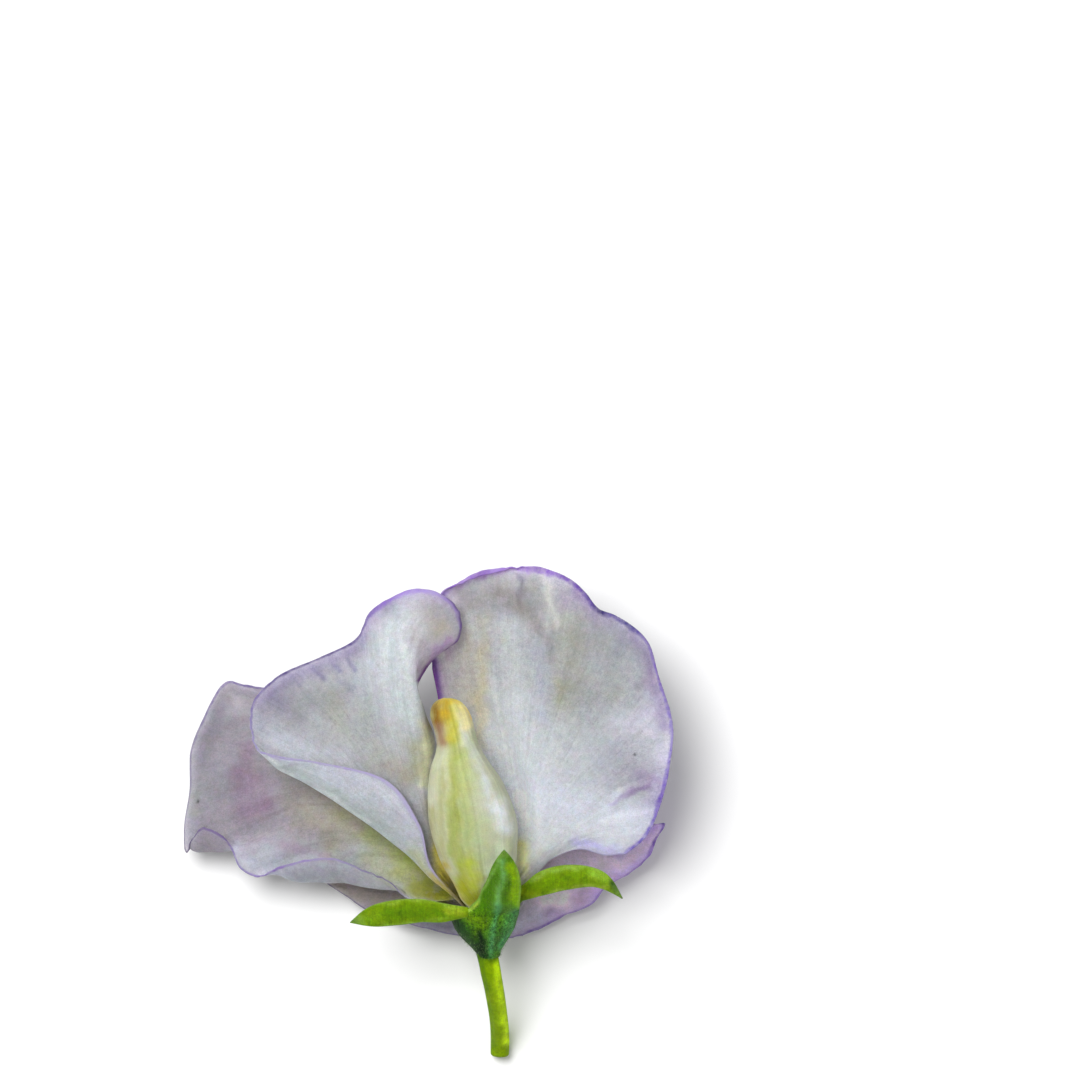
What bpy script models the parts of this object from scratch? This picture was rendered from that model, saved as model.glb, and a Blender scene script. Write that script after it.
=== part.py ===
"""One sweet pea bloom, cut with its short stalk and lying on its back on a flat surface.

The bloom is built the way it grows: a stalk, a green five-toothed calyx, the standard (the broad
back petal), two wings, the keel (a boat of two joined petals), and inside the keel the stamens in
their sheath round the pistil. Units are metres, +Z is up, and the surface is Z = 0.
"""

import math

import bmesh
import bpy
import numpy as np
from mathutils import Vector

MM = 0.001

# Driving dimensions, in millimetres

PETAL_THICKNESS = 0.65
KEEL_WALL = 0.6
CALYX_WALL = 0.6
CALYX_DEPTH = 4.5
CALYX_COLUMNS = 36
TOOTH_ROWS = 10
SEAT_GAP = 0.3
FLATTENED = 0.03
CLAW_DEPTH = 0.8
WING_CLAW_OFFSET = 1.8
WING_CLAW_WIDTH = 1.6
STANDARD_CLAW_OFFSET = 1.75
STANDARD_CLAW_WIDTH = 2.0
SHEATH_RADIUS = 1.1
SHEATH_BORE = 0.55
OVARY_RADIUS = 0.26
NORMAL_SMOOTHING = 5

# Plan positions below are (right, down, height): right of and below a datum at the upper left of
# the bloom, as it lies, and above the surface. The datum puts the origin under the middle.
DATUM_RIGHT = 42.75
DATUM_DOWN = 81.23

# The calyx mouth: its centre in plan and height, and the way the flower's own axis points there.
MOUTH = (48.45, 91.15, 8.8)
AXIS = Vector((-0.12, 0.985, 0.12)).normalized()
VENTRAL = (Vector((0, 0, 1)) - AXIS.z * AXIS).normalized()
SIDE = AXIS.cross(VENTRAL)


def plan(right, down, height):
    """A plan position as a point of the part, in millimetres."""
    return np.array((right - DATUM_RIGHT, DATUM_DOWN - down, height))


def mouth(side, ventral, out):
    """A point given from the calyx mouth: sideways, towards the keel, and out along the axis."""
    return plan(*MOUTH) + np.array(SIDE * side + VENTRAL * ventral + AXIS * out)


# Petal rings
#
# Each petal is a sheet through rings that cross its veins. A ring is a list of (vein, right, down,
# height). Vein numbers run from one margin of the petal to the other, and the last ring is the edge.

STANDARD_VEINS = 46
STANDARD_RINGS = (
    (
        (0, 46.6, 89.9, 6.9), (8, 46.9, 89.3, 6.7), (16, 47.5, 89.0, 6.6), (23, 48.3, 88.9, 6.5),
        (30, 49.2, 89.0, 6.3), (38, 50.2, 89.1, 5.8), (46, 50.7, 89.4, 5.3),
    ),
    (
        (0, 44.6, 90.0, 7.1), (4, 44.9, 88.4, 6.4), (10, 45.4, 87.0, 5.9), (16, 46.2, 85.8, 5.6),
        (22, 47.8, 85.2, 5.4), (27, 49.8, 85.6, 5.3), (31, 51.2, 86.6, 5.2), (35, 52.0, 88.0, 5.0),
        (38, 52.3, 89.2, 4.5), (41, 52.2, 90.2, 4.3), (44, 51.8, 90.9, 4.3), (46, 51.5, 91.1, 4.4),
    ),
    (
        (0, 42.6, 90.2, 7.3), (3, 42.0, 87.6, 6.0), (7, 41.6, 85.0, 5.2), (12, 41.2, 82.2, 4.8),
        (16, 42.0, 79.6, 4.5), (19, 43.4, 78.6, 4.4), (22, 45.6, 79.2, 4.3), (25, 49.6, 79.4, 4.2),
        (28, 52.8, 81.2, 4.2), (31, 54.6, 83.6, 4.3), (34, 54.8, 87.0, 4.2), (37, 53.6, 90.2, 3.6),
        (39, 52.0, 91.8, 3.4), (41, 50.0, 92.0, 3.6), (44, 48.8, 91.4, 3.8), (46, 48.6, 91.0, 3.9),
    ),
    (
        (0, 41.6, 89.9, 7.5), (2, 39.6, 88.3, 5.9), (4, 36.6, 86.4, 5.0), (6, 34.2, 84.6, 4.8),
        (8, 32.4, 82.9, 5.0), (10, 30.6, 81.1, 4.6), (12, 29.6, 79.4, 4.1), (14, 28.8, 77.4, 3.4),
        (16, 29.0, 74.4, 2.6), (18, 31.4, 72.2, 2.1), (20, 37.0, 73.2, 2.8), (22, 44.6, 76.4, 3.7),
        (24, 50.2, 72.8, 3.0), (26, 56.0, 72.2, 2.4), (28, 59.0, 76.4, 2.4), (30, 59.6, 81.0, 3.6),
        (31, 59.6, 83.0, 4.2), (33, 59.0, 86.0, 4.0), (35, 57.4, 89.0, 3.2), (37, 54.4, 91.4, 2.6),
        (39, 51.2, 92.8, 2.7), (41, 47.6, 92.5, 3.2), (43, 45.0, 91.2, 3.4), (46, 44.2, 89.5, 3.5),
    ),
    (
        (0, 41.0, 89.8, 7.6), (1, 39.4, 88.9, 6.7), (2, 37.6, 88.5, 6.3), (3, 34.4, 88.1, 5.8),
        (4, 31.6, 88.1, 5.5), (5, 29.0, 88.0, 5.6), (6, 27.6, 86.9, 5.3), (7, 26.0, 85.6, 5.7),
        (8, 24.6, 84.6, 5.2), (9, 22.8, 84.9, 4.6), (10, 20.6, 85.1, 4.0), (11, 19.3, 85.0, 3.6),
        (12, 20.2, 83.4, 3.3), (13, 20.0, 81.2, 3.0), (14, 20.4, 78.6, 2.4), (15, 20.6, 75.4, 1.5),
        (16, 22.2, 72.8, 0.3), (17, 24.4, 71.0, 0.0), (18, 26.6, 70.4, 0.3), (19, 30.0, 70.1, 2.0),
        (20, 35.2, 71.6, 2.9), (21, 41.2, 74.2, 3.5), (22, 44.5, 75.2, 3.7), (23, 47.4, 72.8, 3.4),
        (24, 50.6, 69.6, 3.0), (25, 54.4, 65.4, 1.2), (26, 58.8, 67.0, 0.2), (27, 61.4, 70.6, 0.0),
        (28, 63.4, 74.0, 0.8), (29, 64.0, 78.1, 2.5), (30, 64.2, 81.0, 4.2), (31, 64.9, 82.6, 5.7),
        (32, 64.6, 84.2, 5.4), (33, 63.8, 85.9, 4.4), (34, 62.2, 87.5, 3.4), (35, 60.1, 89.0, 2.8),
        (36, 58.6, 90.6, 2.2), (37, 55.9, 91.9, 2.0), (38, 53.4, 93.0, 1.8), (39, 50.9, 93.7, 1.8),
        (40, 47.5, 93.7, 1.8), (41, 44.2, 92.9, 2.1), (42, 41.2, 92.0, 2.4), (43, 38.8, 91.1, 2.5),
        (44, 37.0, 89.9, 2.6), (45, 35.6, 88.6, 2.6), (46, 37.0, 87.4, 2.8),
    ),
    (
        (0, 40.5, 89.5, 7.7), (1, 38.6, 88.0, 7.9), (2, 36.4, 86.9, 8.0), (3, 33.6, 85.9, 8.0),
        (4, 30.8, 85.9, 7.8), (5, 28.2, 86.6, 7.0), (6, 25.9, 87.7, 5.8), (7, 24.0, 86.9, 5.6),
        (8, 23.1, 85.0, 5.6), (9, 22.1, 83.5, 6.2), (10, 20.2, 82.8, 6.0), (11, 19.2, 84.0, 5.0),
        (12, 18.4, 85.3, 3.4), (13, 18.3, 82.6, 3.0), (14, 18.8, 79.0, 2.4), (15, 18.9, 75.2, 1.8),
        (16, 20.3, 71.5, 0.6), (17, 22.2, 68.4, 0.4), (18, 24.4, 68.6, 1.0), (19, 28.6, 69.4, 2.6),
        (20, 34.4, 71.0, 3.4), (21, 40.4, 73.2, 3.6), (22, 44.4, 74.4, 3.8), (23, 47.4, 71.6, 3.4),
        (24, 50.8, 67.4, 3.4), (25, 54.8, 63.4, 2.0), (26, 60.0, 64.6, 0.9), (27, 63.3, 68.6, 0.7),
        (28, 64.6, 73.4, 1.6), (29, 65.0, 78.0, 2.8), (30, 65.2, 81.0, 4.6), (31, 66.4, 82.4, 6.2),
        (32, 66.1, 83.8, 5.8), (33, 65.2, 85.6, 4.6), (34, 63.2, 87.3, 3.4), (35, 60.7, 88.8, 2.8),
        (36, 59.2, 90.6, 2.2), (37, 56.2, 91.9, 1.9), (38, 53.5, 93.3, 1.6), (39, 50.8, 94.0, 1.4),
        (40, 47.0, 94.0, 1.5), (41, 43.2, 93.2, 1.7), (42, 39.6, 92.2, 2.0), (43, 36.8, 91.3, 2.2),
        (44, 34.6, 89.8, 2.3), (45, 32.3, 88.1, 2.3), (46, 34.6, 86.8, 2.5),
    ),
)

WING_VEINS = 15
LEFT_WING_RINGS = (
    (
        (0, 45.8, 87.0, 8.0), (2, 45.0, 86.4, 8.6), (4, 44.3, 86.0, 9.1), (6, 43.7, 85.8, 9.2),
        (8, 43.2, 85.8, 9.1), (10, 42.8, 86.2, 9.0), (12, 42.7, 87.1, 9.3), (13, 43.0, 87.5, 9.8),
        (14, 43.2, 87.3, 10.5), (15, 43.3, 86.7, 11.1),
    ),
    (
        (0, 44.4, 82.0, 7.6), (1, 43.9, 81.4, 8.3), (2, 43.3, 80.8, 9.4), (3, 42.7, 80.4, 10.4),
        (5, 41.6, 79.2, 11.2), (7, 40.3, 78.7, 11.2), (9, 38.8, 78.8, 10.4), (11, 37.4, 80.0, 9.5),
        (12, 37.6, 81.5, 9.3), (13, 39.4, 84.2, 9.9), (14, 40.6, 83.6, 11.2), (15, 42.0, 82.2, 12.6),
    ),
    (
        (0, 44.3, 76.6, 8.4), (1, 43.8, 75.8, 9.8), (2, 43.3, 75.2, 11.5), (3, 42.3, 75.0, 12.7),
        (5, 40.0, 73.0, 13.0), (7, 37.8, 72.5, 12.3), (9, 34.4, 73.2, 11.3), (11, 31.8, 75.4, 10.1),
        (12, 32.0, 77.4, 9.7), (13, 34.0, 80.2, 10.2), (14, 35.4, 79.6, 11.4), (15, 38.6, 77.8, 12.9),
    ),
    (
        (0, 42.8, 72.2, 10.0), (1, 42.4, 71.2, 11.9), (2, 42.2, 70.1, 14.3), (3, 41.4, 68.6, 15.4),
        (4, 40.4, 66.8, 15.2), (5, 39.4, 66.4, 14.4), (6, 37.9, 66.6, 13.6), (7, 36.3, 67.2, 12.8),
        (8, 33.4, 67.8, 12.3), (9, 30.4, 69.4, 11.9), (10, 28.3, 71.4, 11.4), (11, 27.8, 73.2, 10.9),
        (12, 28.0, 75.3, 10.4), (13, 29.2, 77.4, 10.4), (14, 29.8, 76.8, 11.4), (15, 32.0, 76.1, 12.5),
    ),
    (
        (0, 41.6, 69.3, 11.1), (1, 41.6, 68.6, 13.0), (2, 41.8, 67.4, 14.8), (3, 42.2, 64.6, 15.4),
        (4, 42.4, 61.8, 15.0), (5, 40.3, 60.8, 14.6), (6, 37.6, 62.4, 13.4), (7, 36.0, 64.8, 12.7),
        (8, 32.4, 66.3, 12.3), (9, 28.9, 68.0, 12.2), (10, 26.5, 70.4, 12.0), (11, 26.1, 72.4, 11.6),
        (12, 26.4, 74.6, 10.9), (13, 27.2, 76.1, 10.8), (14, 27.8, 76.3, 11.6), (15, 28.6, 75.6, 12.3),
    ),
    (
        (0, 41.7, 67.7, 11.6), (1, 42.5, 66.6, 12.3), (2, 44.3, 65.1, 12.3), (3, 46.1, 63.4, 11.7),
        (4, 45.4, 60.2, 12.0), (5, 41.4, 58.9, 13.0), (6, 37.4, 60.9, 13.0), (7, 35.7, 63.8, 12.6),
        (8, 32.0, 65.7, 12.4), (9, 28.2, 67.4, 12.5), (10, 25.7, 69.7, 12.4), (11, 25.2, 72.0, 12.2),
        (12, 25.4, 73.5, 12.0), (13, 25.6, 74.3, 11.8), (14, 26.0, 74.9, 11.9), (15, 26.7, 75.2, 12.3),
    ),
)

RIGHT_WING_RINGS = (
    (
        (0, 50.4, 87.2, 7.5), (2, 50.9, 86.8, 8.3), (4, 51.4, 86.4, 9.1), (6, 51.9, 86.0, 9.8),
        (8, 52.3, 85.8, 10.3), (10, 52.7, 85.9, 10.5), (12, 53.1, 86.3, 10.3), (13, 53.3, 86.8, 10.1),
        (14, 53.3, 87.3, 9.9), (15, 53.2, 87.8, 9.65),
    ),
    (
        (0, 48.6, 82.0, 7.4), (2, 50.0, 81.0, 8.3), (4, 51.3, 80.0, 9.5), (6, 52.6, 79.0, 11.0),
        (8, 54.1, 79.1, 11.8), (10, 55.7, 80.2, 11.9), (12, 56.9, 82.3, 11.3), (13, 57.0, 83.4, 10.8),
        (14, 56.6, 84.4, 10.3), (15, 54.6, 86.1, 9.8),
    ),
    (
        (0, 46.4, 77.0, 7.8), (2, 48.4, 75.0, 8.6), (4, 50.8, 73.0, 10.2), (6, 53.8, 71.7, 12.2),
        (8, 57.0, 72.2, 12.7), (10, 60.0, 75.2, 12.4), (12, 61.2, 79.4, 11.6), (13, 61.0, 81.3, 11.1),
        (14, 60.4, 83.2, 10.4), (15, 57.8, 84.8, 10.0),
    ),
    (
        (0, 44.4, 72.5, 8.8), (2, 46.6, 69.0, 9.4), (4, 50.2, 66.0, 10.8), (6, 55.0, 64.7, 12.4),
        (8, 59.6, 66.9, 12.6), (10, 63.3, 71.3, 12.4), (12, 64.6, 77.6, 12.0), (13, 63.9, 80.6, 11.5),
        (14, 63.0, 82.9, 10.6), (15, 60.4, 85.4, 9.7),
    ),
    (
        (0, 43.8, 69.4, 9.6), (1, 44.0, 65.0, 10.1), (2, 45.0, 60.0, 10.8), (3, 46.9, 58.0, 11.2),
        (4, 49.9, 57.0, 11.8), (5, 53.0, 57.4, 12.1), (6, 55.9, 59.0, 12.0), (7, 58.3, 61.4, 12.2),
        (8, 60.9, 63.2, 12.4), (9, 63.6, 65.4, 12.5), (10, 65.0, 69.0, 12.5), (11, 66.1, 73.0, 12.5),
        (12, 66.0, 77.2, 12.3), (13, 65.0, 80.6, 11.8), (14, 64.2, 82.9, 10.8), (15, 61.9, 85.3, 9.6),
    ),
    (
        (0, 43.3, 66.8, 10.2), (1, 43.2, 62.2, 10.5), (2, 44.2, 59.3, 11.6), (3, 46.4, 58.2, 12.1),
        (4, 49.6, 57.2, 12.5), (5, 53.0, 56.6, 12.4), (6, 56.3, 57.5, 11.8), (7, 58.7, 59.4, 11.8),
        (7.5, 59.8, 60.8, 12.0), (8, 61.5, 61.5, 12.2), (9, 64.6, 63.9, 12.4), (10, 65.8, 67.5, 12.7),
        (11, 67.2, 72.4, 12.8), (12, 66.8, 77.0, 12.6), (13, 65.9, 80.6, 11.9), (14, 64.6, 83.5, 10.6),
        (15, 62.5, 85.3, 9.6),
    ),
)

# Keel stations: (down, right of the middle line, half width, ridge height, lower height, half the
# angle that the wall spans). The first two are the claw, and the last one is the closed tip.
KEEL_STATIONS = (
    (91.80, 48.60, 2.00, 10.75, 9.55, 35), (90.60, 48.45, 2.20, 10.95, 9.50, 45),
    (89.60, 48.40, 2.40, 11.80, 9.90, 80), (88.00, 48.30, 3.00, 13.50, 9.50, 125),
    (86.00, 47.90, 3.75, 15.30, 8.90, 146), (84.00, 47.60, 4.15, 16.40, 8.60, 148),
    (82.00, 47.35, 4.35, 17.10, 8.50, 149), (80.00, 47.00, 4.15, 17.50, 8.70, 149),
    (78.00, 46.60, 3.70, 17.60, 9.20, 149), (76.50, 46.20, 3.10, 17.40, 9.80, 149),
    (75.00, 45.95, 2.35, 16.90, 10.50, 148), (74.00, 45.75, 2.05, 16.40, 10.90, 147),
    (72.50, 45.45, 2.00, 15.60, 11.10, 147), (71.40, 45.15, 1.98, 15.00, 11.20, 147),
    (70.50, 44.95, 1.75, 14.50, 11.40, 147), (69.90, 44.85, 1.25, 14.00, 11.80, 147),
    (69.65, 44.80, 0.70, 13.50, 12.30, 147),
)

# Calyx teeth: the columns of the rim that a tooth grows from, counted round the mouth from the side
# towards the keel, and then (right, down, height, half width) out to the tip.
TEETH = (
    (
        12, 2,
        ((49.2, 90.4, 13.0, 2.25), (49.8, 88.6, 14.65, 1.85), (50.2, 86.9, 16.05, 1.2), (50.3, 85.2, 17.1, 0.2)),
    ),
    (
        13, 19,
        ((44.3, 91.2, 10.3, 0.95), (42.2, 90.9, 10.8, 1.15), (39.6, 91.1, 10.9, 1.25), (37.2, 91.5, 10.7, 1.0),
         (35.1, 92.1, 10.0, 0.2)),
    ),
    (
        -4, 1,
        ((52.7, 89.4, 10.9, 0.85), (54.4, 88.1, 11.3, 1.2), (57.2, 87.5, 11.4, 1.2), (60.0, 87.8, 11.1, 0.85),
         (62.2, 89.7, 10.2, 0.2)),
    ),
    (21, 25, ((44.9, 91.6, 5.8, 0.95), (43.4, 91.2, 5.7, 0.95), (41.6, 91.2, 5.6, 0.7), (39.4, 91.5, 5.4, 0.2))),
    (27, 31, ((51.6, 90.9, 6.0, 0.8), (53.2, 89.8, 6.1, 0.8), (54.8, 88.9, 6.1, 0.6), (56.6, 88.2, 5.9, 0.2))),
)

# Calyx bell, at the middle of its wall: (distance back from the mouth, radius), rim first
BELL_PROFILE = ((0.0, 3.15), (1.4, 2.66), (2.3, 2.17), (3.2, 1.52), (3.9, 1.02), (CALYX_DEPTH, 0.55))

# Stalk: middle line in plan with its radius, from the calyx to the cut end
STALK = (
    (49.06, 96.22, 8.19, 1.00), (49.15, 97.05, 8.00, 0.90), (49.30, 98.30, 7.15, 0.85),
    (49.55, 100.0, 5.70, 0.85), (49.80, 101.8, 4.05, 0.85), (49.97, 103.4, 2.45, 0.86),
    (50.05, 104.8, 1.15, 0.86), (50.05, 105.75, 0.82, 0.84),
)

# Middle line of the stamens' sheath inside the keel
SHEATH_LINE = ((47.95, 87.0, 10.35), (47.4, 83.0, 11.0), (46.8, 80.0, 11.6), (46.2, 77.4, 12.5))
ANTHER_REACH = 3.2
ANTHER_COUNT = 9


# Curves and sheets


def through(knots, values, at):
    """Smooth curve through values at knots, read at the places given: cubic pieces with shared slopes."""
    knots, values, at = np.asarray(knots, float), np.asarray(values, float), np.asarray(at, float)
    step = np.diff(knots)
    rise = np.diff(values, axis=0) / step[:, None]
    slope = np.empty_like(values)
    weight = (step[1:] / (step[1:] + step[:-1]))[:, None]
    slope[1:-1] = weight * rise[:-1] + (1 - weight) * rise[1:]
    slope[0] = 1.5 * rise[0] - 0.5 * slope[1]
    slope[-1] = 1.5 * rise[-1] - 0.5 * slope[-2]
    piece = np.clip(np.searchsorted(knots, at, side="right") - 1, 0, len(step) - 1)
    width = step[piece][:, None]
    t = ((at - knots[piece]) / step[piece])[:, None]
    return (
        (2 * t**3 - 3 * t**2 + 1) * values[piece]
        + (t**3 - 2 * t**2 + t) * width * slope[piece]
        + (3 * t**2 - 2 * t**3) * values[piece + 1]
        + (t**3 - t**2) * width * slope[piece + 1]
    )


def evenly(points, count):
    """Count points along a smooth curve through the points given, about evenly spaced."""
    points = np.asarray(points, float)
    steps = np.linalg.norm(np.diff(points[:, :3], axis=0), axis=1) ** 0.5
    knots = np.concatenate([[0], np.cumsum(steps)])
    return through(knots, points, np.linspace(0, knots[-1], count))


def sheet(claw, rings, veins, rows, columns):
    """Grid of points for a petal: rows run from the claw to the edge, columns from margin to margin."""
    at = np.linspace(0, veins, columns + 1)
    crossing = [np.array([claw(vein / veins, out) for vein in at]) for out in (-CLAW_DEPTH, 0.4)]
    for ring in rings:
        ring = np.array(ring)
        placed = np.array([plan(*point) for point in ring[:, 1:]])
        crossing.append(through(ring[:, 0], placed, at))
    crossing = np.array(crossing)
    apart = np.linalg.norm(np.diff(crossing, axis=0), axis=2).mean(axis=1) ** 0.7
    knots = np.concatenate([[0], np.cumsum(apart)])
    along = np.linspace(0, knots[-1], rows + 1)
    return np.stack([through(knots, crossing[:, c], along) for c in range(columns + 1)], axis=1)


def sheet_normals(grid):
    """Unit normal of a grid at each of its points, evened out so that tight folds don't cross."""
    across = np.gradient(grid, axis=1)
    along = np.gradient(grid, axis=0)
    normal = np.cross(along, across)
    normal = normal / np.maximum(np.linalg.norm(normal, axis=2, keepdims=True), 1e-9)
    for _ in range(NORMAL_SMOOTHING):
        padded = np.pad(normal, ((1, 1), (1, 1), (0, 0)), mode="edge")
        around = padded[2:, 1:-1] + padded[:-2, 1:-1] + padded[1:-1, 2:] + padded[1:-1, :-2]
        normal = around + 2 * normal
        normal = normal / np.linalg.norm(normal, axis=2, keepdims=True)
    return normal


def shell_between(name, upper, lower):
    """Closed solid between two like grids, split into triangles alike on both faces."""
    rows, columns = upper.shape[:2]
    mesh = bmesh.new()
    faces = [[[mesh.verts.new(point * MM) for point in row] for row in grid] for grid in (upper, lower)]
    top, bottom = faces
    for r in range(rows - 1):
        for c in range(columns - 1):
            a, b, d, e = (r, c), (r, c + 1), (r + 1, c), (r + 1, c + 1)
            for one, two, three in ((a, b, e), (a, e, d)):
                mesh.faces.new([top[i][j] for i, j in (one, two, three)])
                mesh.faces.new([bottom[i][j] for i, j in (three, two, one)])
    rim = [(0, c) for c in range(columns)] + [(r, columns - 1) for r in range(1, rows)]
    rim += [(rows - 1, c) for c in range(columns - 2, -1, -1)] + [(r, 0) for r in range(rows - 2, 0, -1)]
    for (i, j), (k, m) in zip(rim, rim[1:] + rim[:1]):
        mesh.faces.new([top[i][j], bottom[i][j], bottom[k][m]])
        mesh.faces.new([top[i][j], bottom[k][m], top[k][m]])
    return finished(name, mesh)


def finished(name, mesh):
    """Object of a bmesh, with its faces pointing out and its round sides shaded smooth."""
    bmesh.ops.recalc_face_normals(mesh, faces=mesh.faces)
    data = bpy.data.meshes.new(name)
    mesh.to_mesh(data)
    mesh.free()
    data.shade_smooth()
    data.set_sharp_from_angle(angle=math.radians(50))
    made = bpy.data.objects.new(name, data)
    bpy.context.scene.collection.objects.link(made)
    return made


def tube(name, line, radii, sides):
    """Closed round rod along a line, with a radius at each of its points."""
    mesh = bmesh.new()
    line = [Vector(point) for point in line]
    rings = []
    for i, point in enumerate(line):
        tangent = (line[min(i + 1, len(line) - 1)] - line[max(i - 1, 0)]).normalized()
        first = tangent.cross(Vector((1, 0, 0))).normalized()
        second = tangent.cross(first)
        turns = [2 * math.pi * s / sides for s in range(sides)]
        rings.append([
            mesh.verts.new((point + (math.cos(t) * first + math.sin(t) * second) * float(radii[i])) * MM)
            for t in turns
        ])
    for one, two in zip(rings, rings[1:]):
        for s in range(sides):
            mesh.faces.new([one[s], one[(s + 1) % sides], two[(s + 1) % sides], two[s]])
    mesh.faces.new(rings[0])
    mesh.faces.new(rings[-1])
    return finished(name, mesh)


def joined(target, others):
    """One solid of the target and the others, which are then removed."""
    group = bpy.data.collections.new(target.name + "_pieces")
    for other in others:
        group.objects.link(other)
    union = target.modifiers.new("union", "BOOLEAN")
    union.operation = "UNION"
    union.solver = "EXACT"
    union.operand_type = "COLLECTION"
    union.collection = group
    evaluated = target.evaluated_get(bpy.context.evaluated_depsgraph_get())
    whole = bpy.data.meshes.new_from_object(evaluated)
    target.modifiers.clear()
    target.data = whole
    for other in others:
        bpy.data.objects.remove(other)
    bpy.data.collections.remove(group)
    return target


# Petals


def petal(name, claw, rings, veins, rows, columns):
    """Petal of even thickness, its lowest points flattened where it lies on the surface."""
    grid = sheet(claw, rings, veins, rows, columns)
    grid[:, :, 2] = np.maximum(grid[:, :, 2], PETAL_THICKNESS / 2)
    offset = sheet_normals(grid) * PETAL_THICKNESS / 2
    upper, lower = grid + offset, grid - offset
    for face in (upper, lower):
        face[:, :, 2] = np.where(face[:, :, 2] < FLATTENED, 0, face[:, :, 2])
    return shell_between(name, upper, lower)


def make_standard():
    def claw(share, out):
        return mouth(STANDARD_CLAW_WIDTH * (share - 0.5), -STANDARD_CLAW_OFFSET, out)

    return petal("standard", claw, STANDARD_RINGS, STANDARD_VEINS, 14, 80)


def make_wing(name, side, rings):
    def claw(share, out):
        return mouth(side * WING_CLAW_OFFSET, WING_CLAW_WIDTH * (share - 0.5), out)

    return petal(name, claw, rings, WING_VEINS, 16, 42)


def make_keel():
    """The two front petals joined along the ridge into a boat, open on its hidden lower side."""
    outer = []
    for down, right, half_width, ridge, low, span in evenly(np.array(KEEL_STATIONS), 26):
        middle, half_depth = (ridge + low) / 2, (ridge - low) / 2
        turns = np.radians(np.linspace(-span, span, 21))
        outer.append([
            plan(right + half_width * math.sin(t), down, middle + half_depth * math.cos(t)) for t in turns
        ])
    outer = np.array(outer)
    return shell_between("keel", outer, outer + sheet_normals(outer) * KEEL_WALL)


# Calyx and stalk


def tooth_rows(rim, below, stations):
    """Rows of points for one tooth, from the rim out to its tip, folded a little along its middle."""
    shares = np.linspace(-1, 1, len(rim))
    rows = [below, rim]
    points = np.array([plan(*station[:3]) for station in stations])
    for point, tangent, station in zip(points, np.gradient(points, axis=0), stations):
        across = np.cross(tangent, (0, 0, 1))
        across = across / np.linalg.norm(across)
        normal = np.cross(across, tangent)
        normal = normal / np.linalg.norm(normal)
        rows.append([
            point + station[3] * (across * share - normal * 0.18 * abs(share) ** 1.5) for share in shares
        ])
    rows = np.array(rows)
    apart = np.linalg.norm(np.diff(rows, axis=0), axis=2).mean(axis=1) ** 0.7
    knots = np.concatenate([[0], np.cumsum(apart)])
    along = np.linspace(knots[1], knots[-1], TOOTH_ROWS)[1:]
    return np.stack([through(knots, rows[:, c], along) for c in range(len(shares))], axis=1)


def make_calyx():
    """One sheet: a bell from the stalk to the mouth, whose rim runs on into five pointed teeth."""
    points = [mouth(0, 0, -CALYX_DEPTH)]
    faces = []
    profile = evenly(np.array([(radius, 0, -back) for back, radius in BELL_PROFILE]), 8)[::-1]
    for radius, _, out in profile:
        turns = [2 * math.pi * c / CALYX_COLUMNS for c in range(CALYX_COLUMNS)]
        points += [mouth(radius * math.cos(t), radius * math.sin(t), out) for t in turns]

    def at(ring, column):
        return 1 + ring * CALYX_COLUMNS + column % CALYX_COLUMNS

    for c in range(CALYX_COLUMNS):
        faces.append((0, at(0, c + 1), at(0, c)))
        for ring in range(len(profile) - 1):
            faces.append((at(ring, c), at(ring, c + 1), at(ring + 1, c + 1), at(ring + 1, c)))
    rim = len(profile) - 1
    for first, last, stations in TEETH:
        columns = list(range(first, last + 1)) or list(range(first, last - 1, -1))
        below = [points[at(rim - 1, c)] for c in columns]
        previous = [at(rim, c) for c in columns]
        rows = tooth_rows([points[i] for i in previous], below, stations)
        if first > last:
            rows, previous = rows[:, ::-1], previous[::-1]
        for row in rows:
            placed = list(range(len(points), len(points) + len(row)))
            points += list(row)
            for c in range(len(row) - 1):
                faces.append((previous[c], previous[c + 1], placed[c + 1], placed[c]))
            previous = placed
    return thickened("calyx", np.array(points), faces, CALYX_WALL)


def thickened(name, points, faces, wall):
    """Closed solid of even thickness about a sheet given by its points and faces."""
    normal = np.zeros_like(points)
    ends = set()
    for face in faces:
        corner = points[list(face)]
        area = np.cross(corner[2] - corner[0], corner[-1] - corner[1])
        for i, one in enumerate(face):
            normal[one] += area
            ends.add((one, face[i - 1]))
    normal = normal / np.linalg.norm(normal, axis=1, keepdims=True)
    for _ in range(2):
        evened = normal * 2
        for one, two in ends:
            evened[one] += normal[two]
            evened[two] += normal[one]
        normal = evened / np.linalg.norm(evened, axis=1, keepdims=True)
    mesh = bmesh.new()
    upper = [mesh.verts.new(point * MM) for point in points + normal * wall / 2]
    lower = [mesh.verts.new(point * MM) for point in points - normal * wall / 2]
    for face in faces:
        for i in range(1, len(face) - 1):
            a, b, c = face[0], face[i], face[i + 1]
            mesh.faces.new([upper[a], upper[b], upper[c]])
            mesh.faces.new([lower[c], lower[b], lower[a]])
    for one, two in ends:
        if (two, one) not in ends:
            mesh.faces.new([upper[one], upper[two], lower[two]])
            mesh.faces.new([upper[one], lower[two], lower[one]])
    return finished(name, mesh)


def make_stalk():
    line = evenly(np.array(STALK), 14)
    return tube("stalk", [plan(*station[:3]) for station in line], line[:, 3], 14)


# Inner pieces


def inner_line(first_out):
    """Middle line of the parts that the keel holds, from the calyx floor towards the keel's tip."""
    points = [mouth(0, 0, first_out), mouth(0, 0, -1.5), mouth(0, 0.1, 1.0)]
    return points + [plan(*point) for point in SHEATH_LINE]


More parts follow.
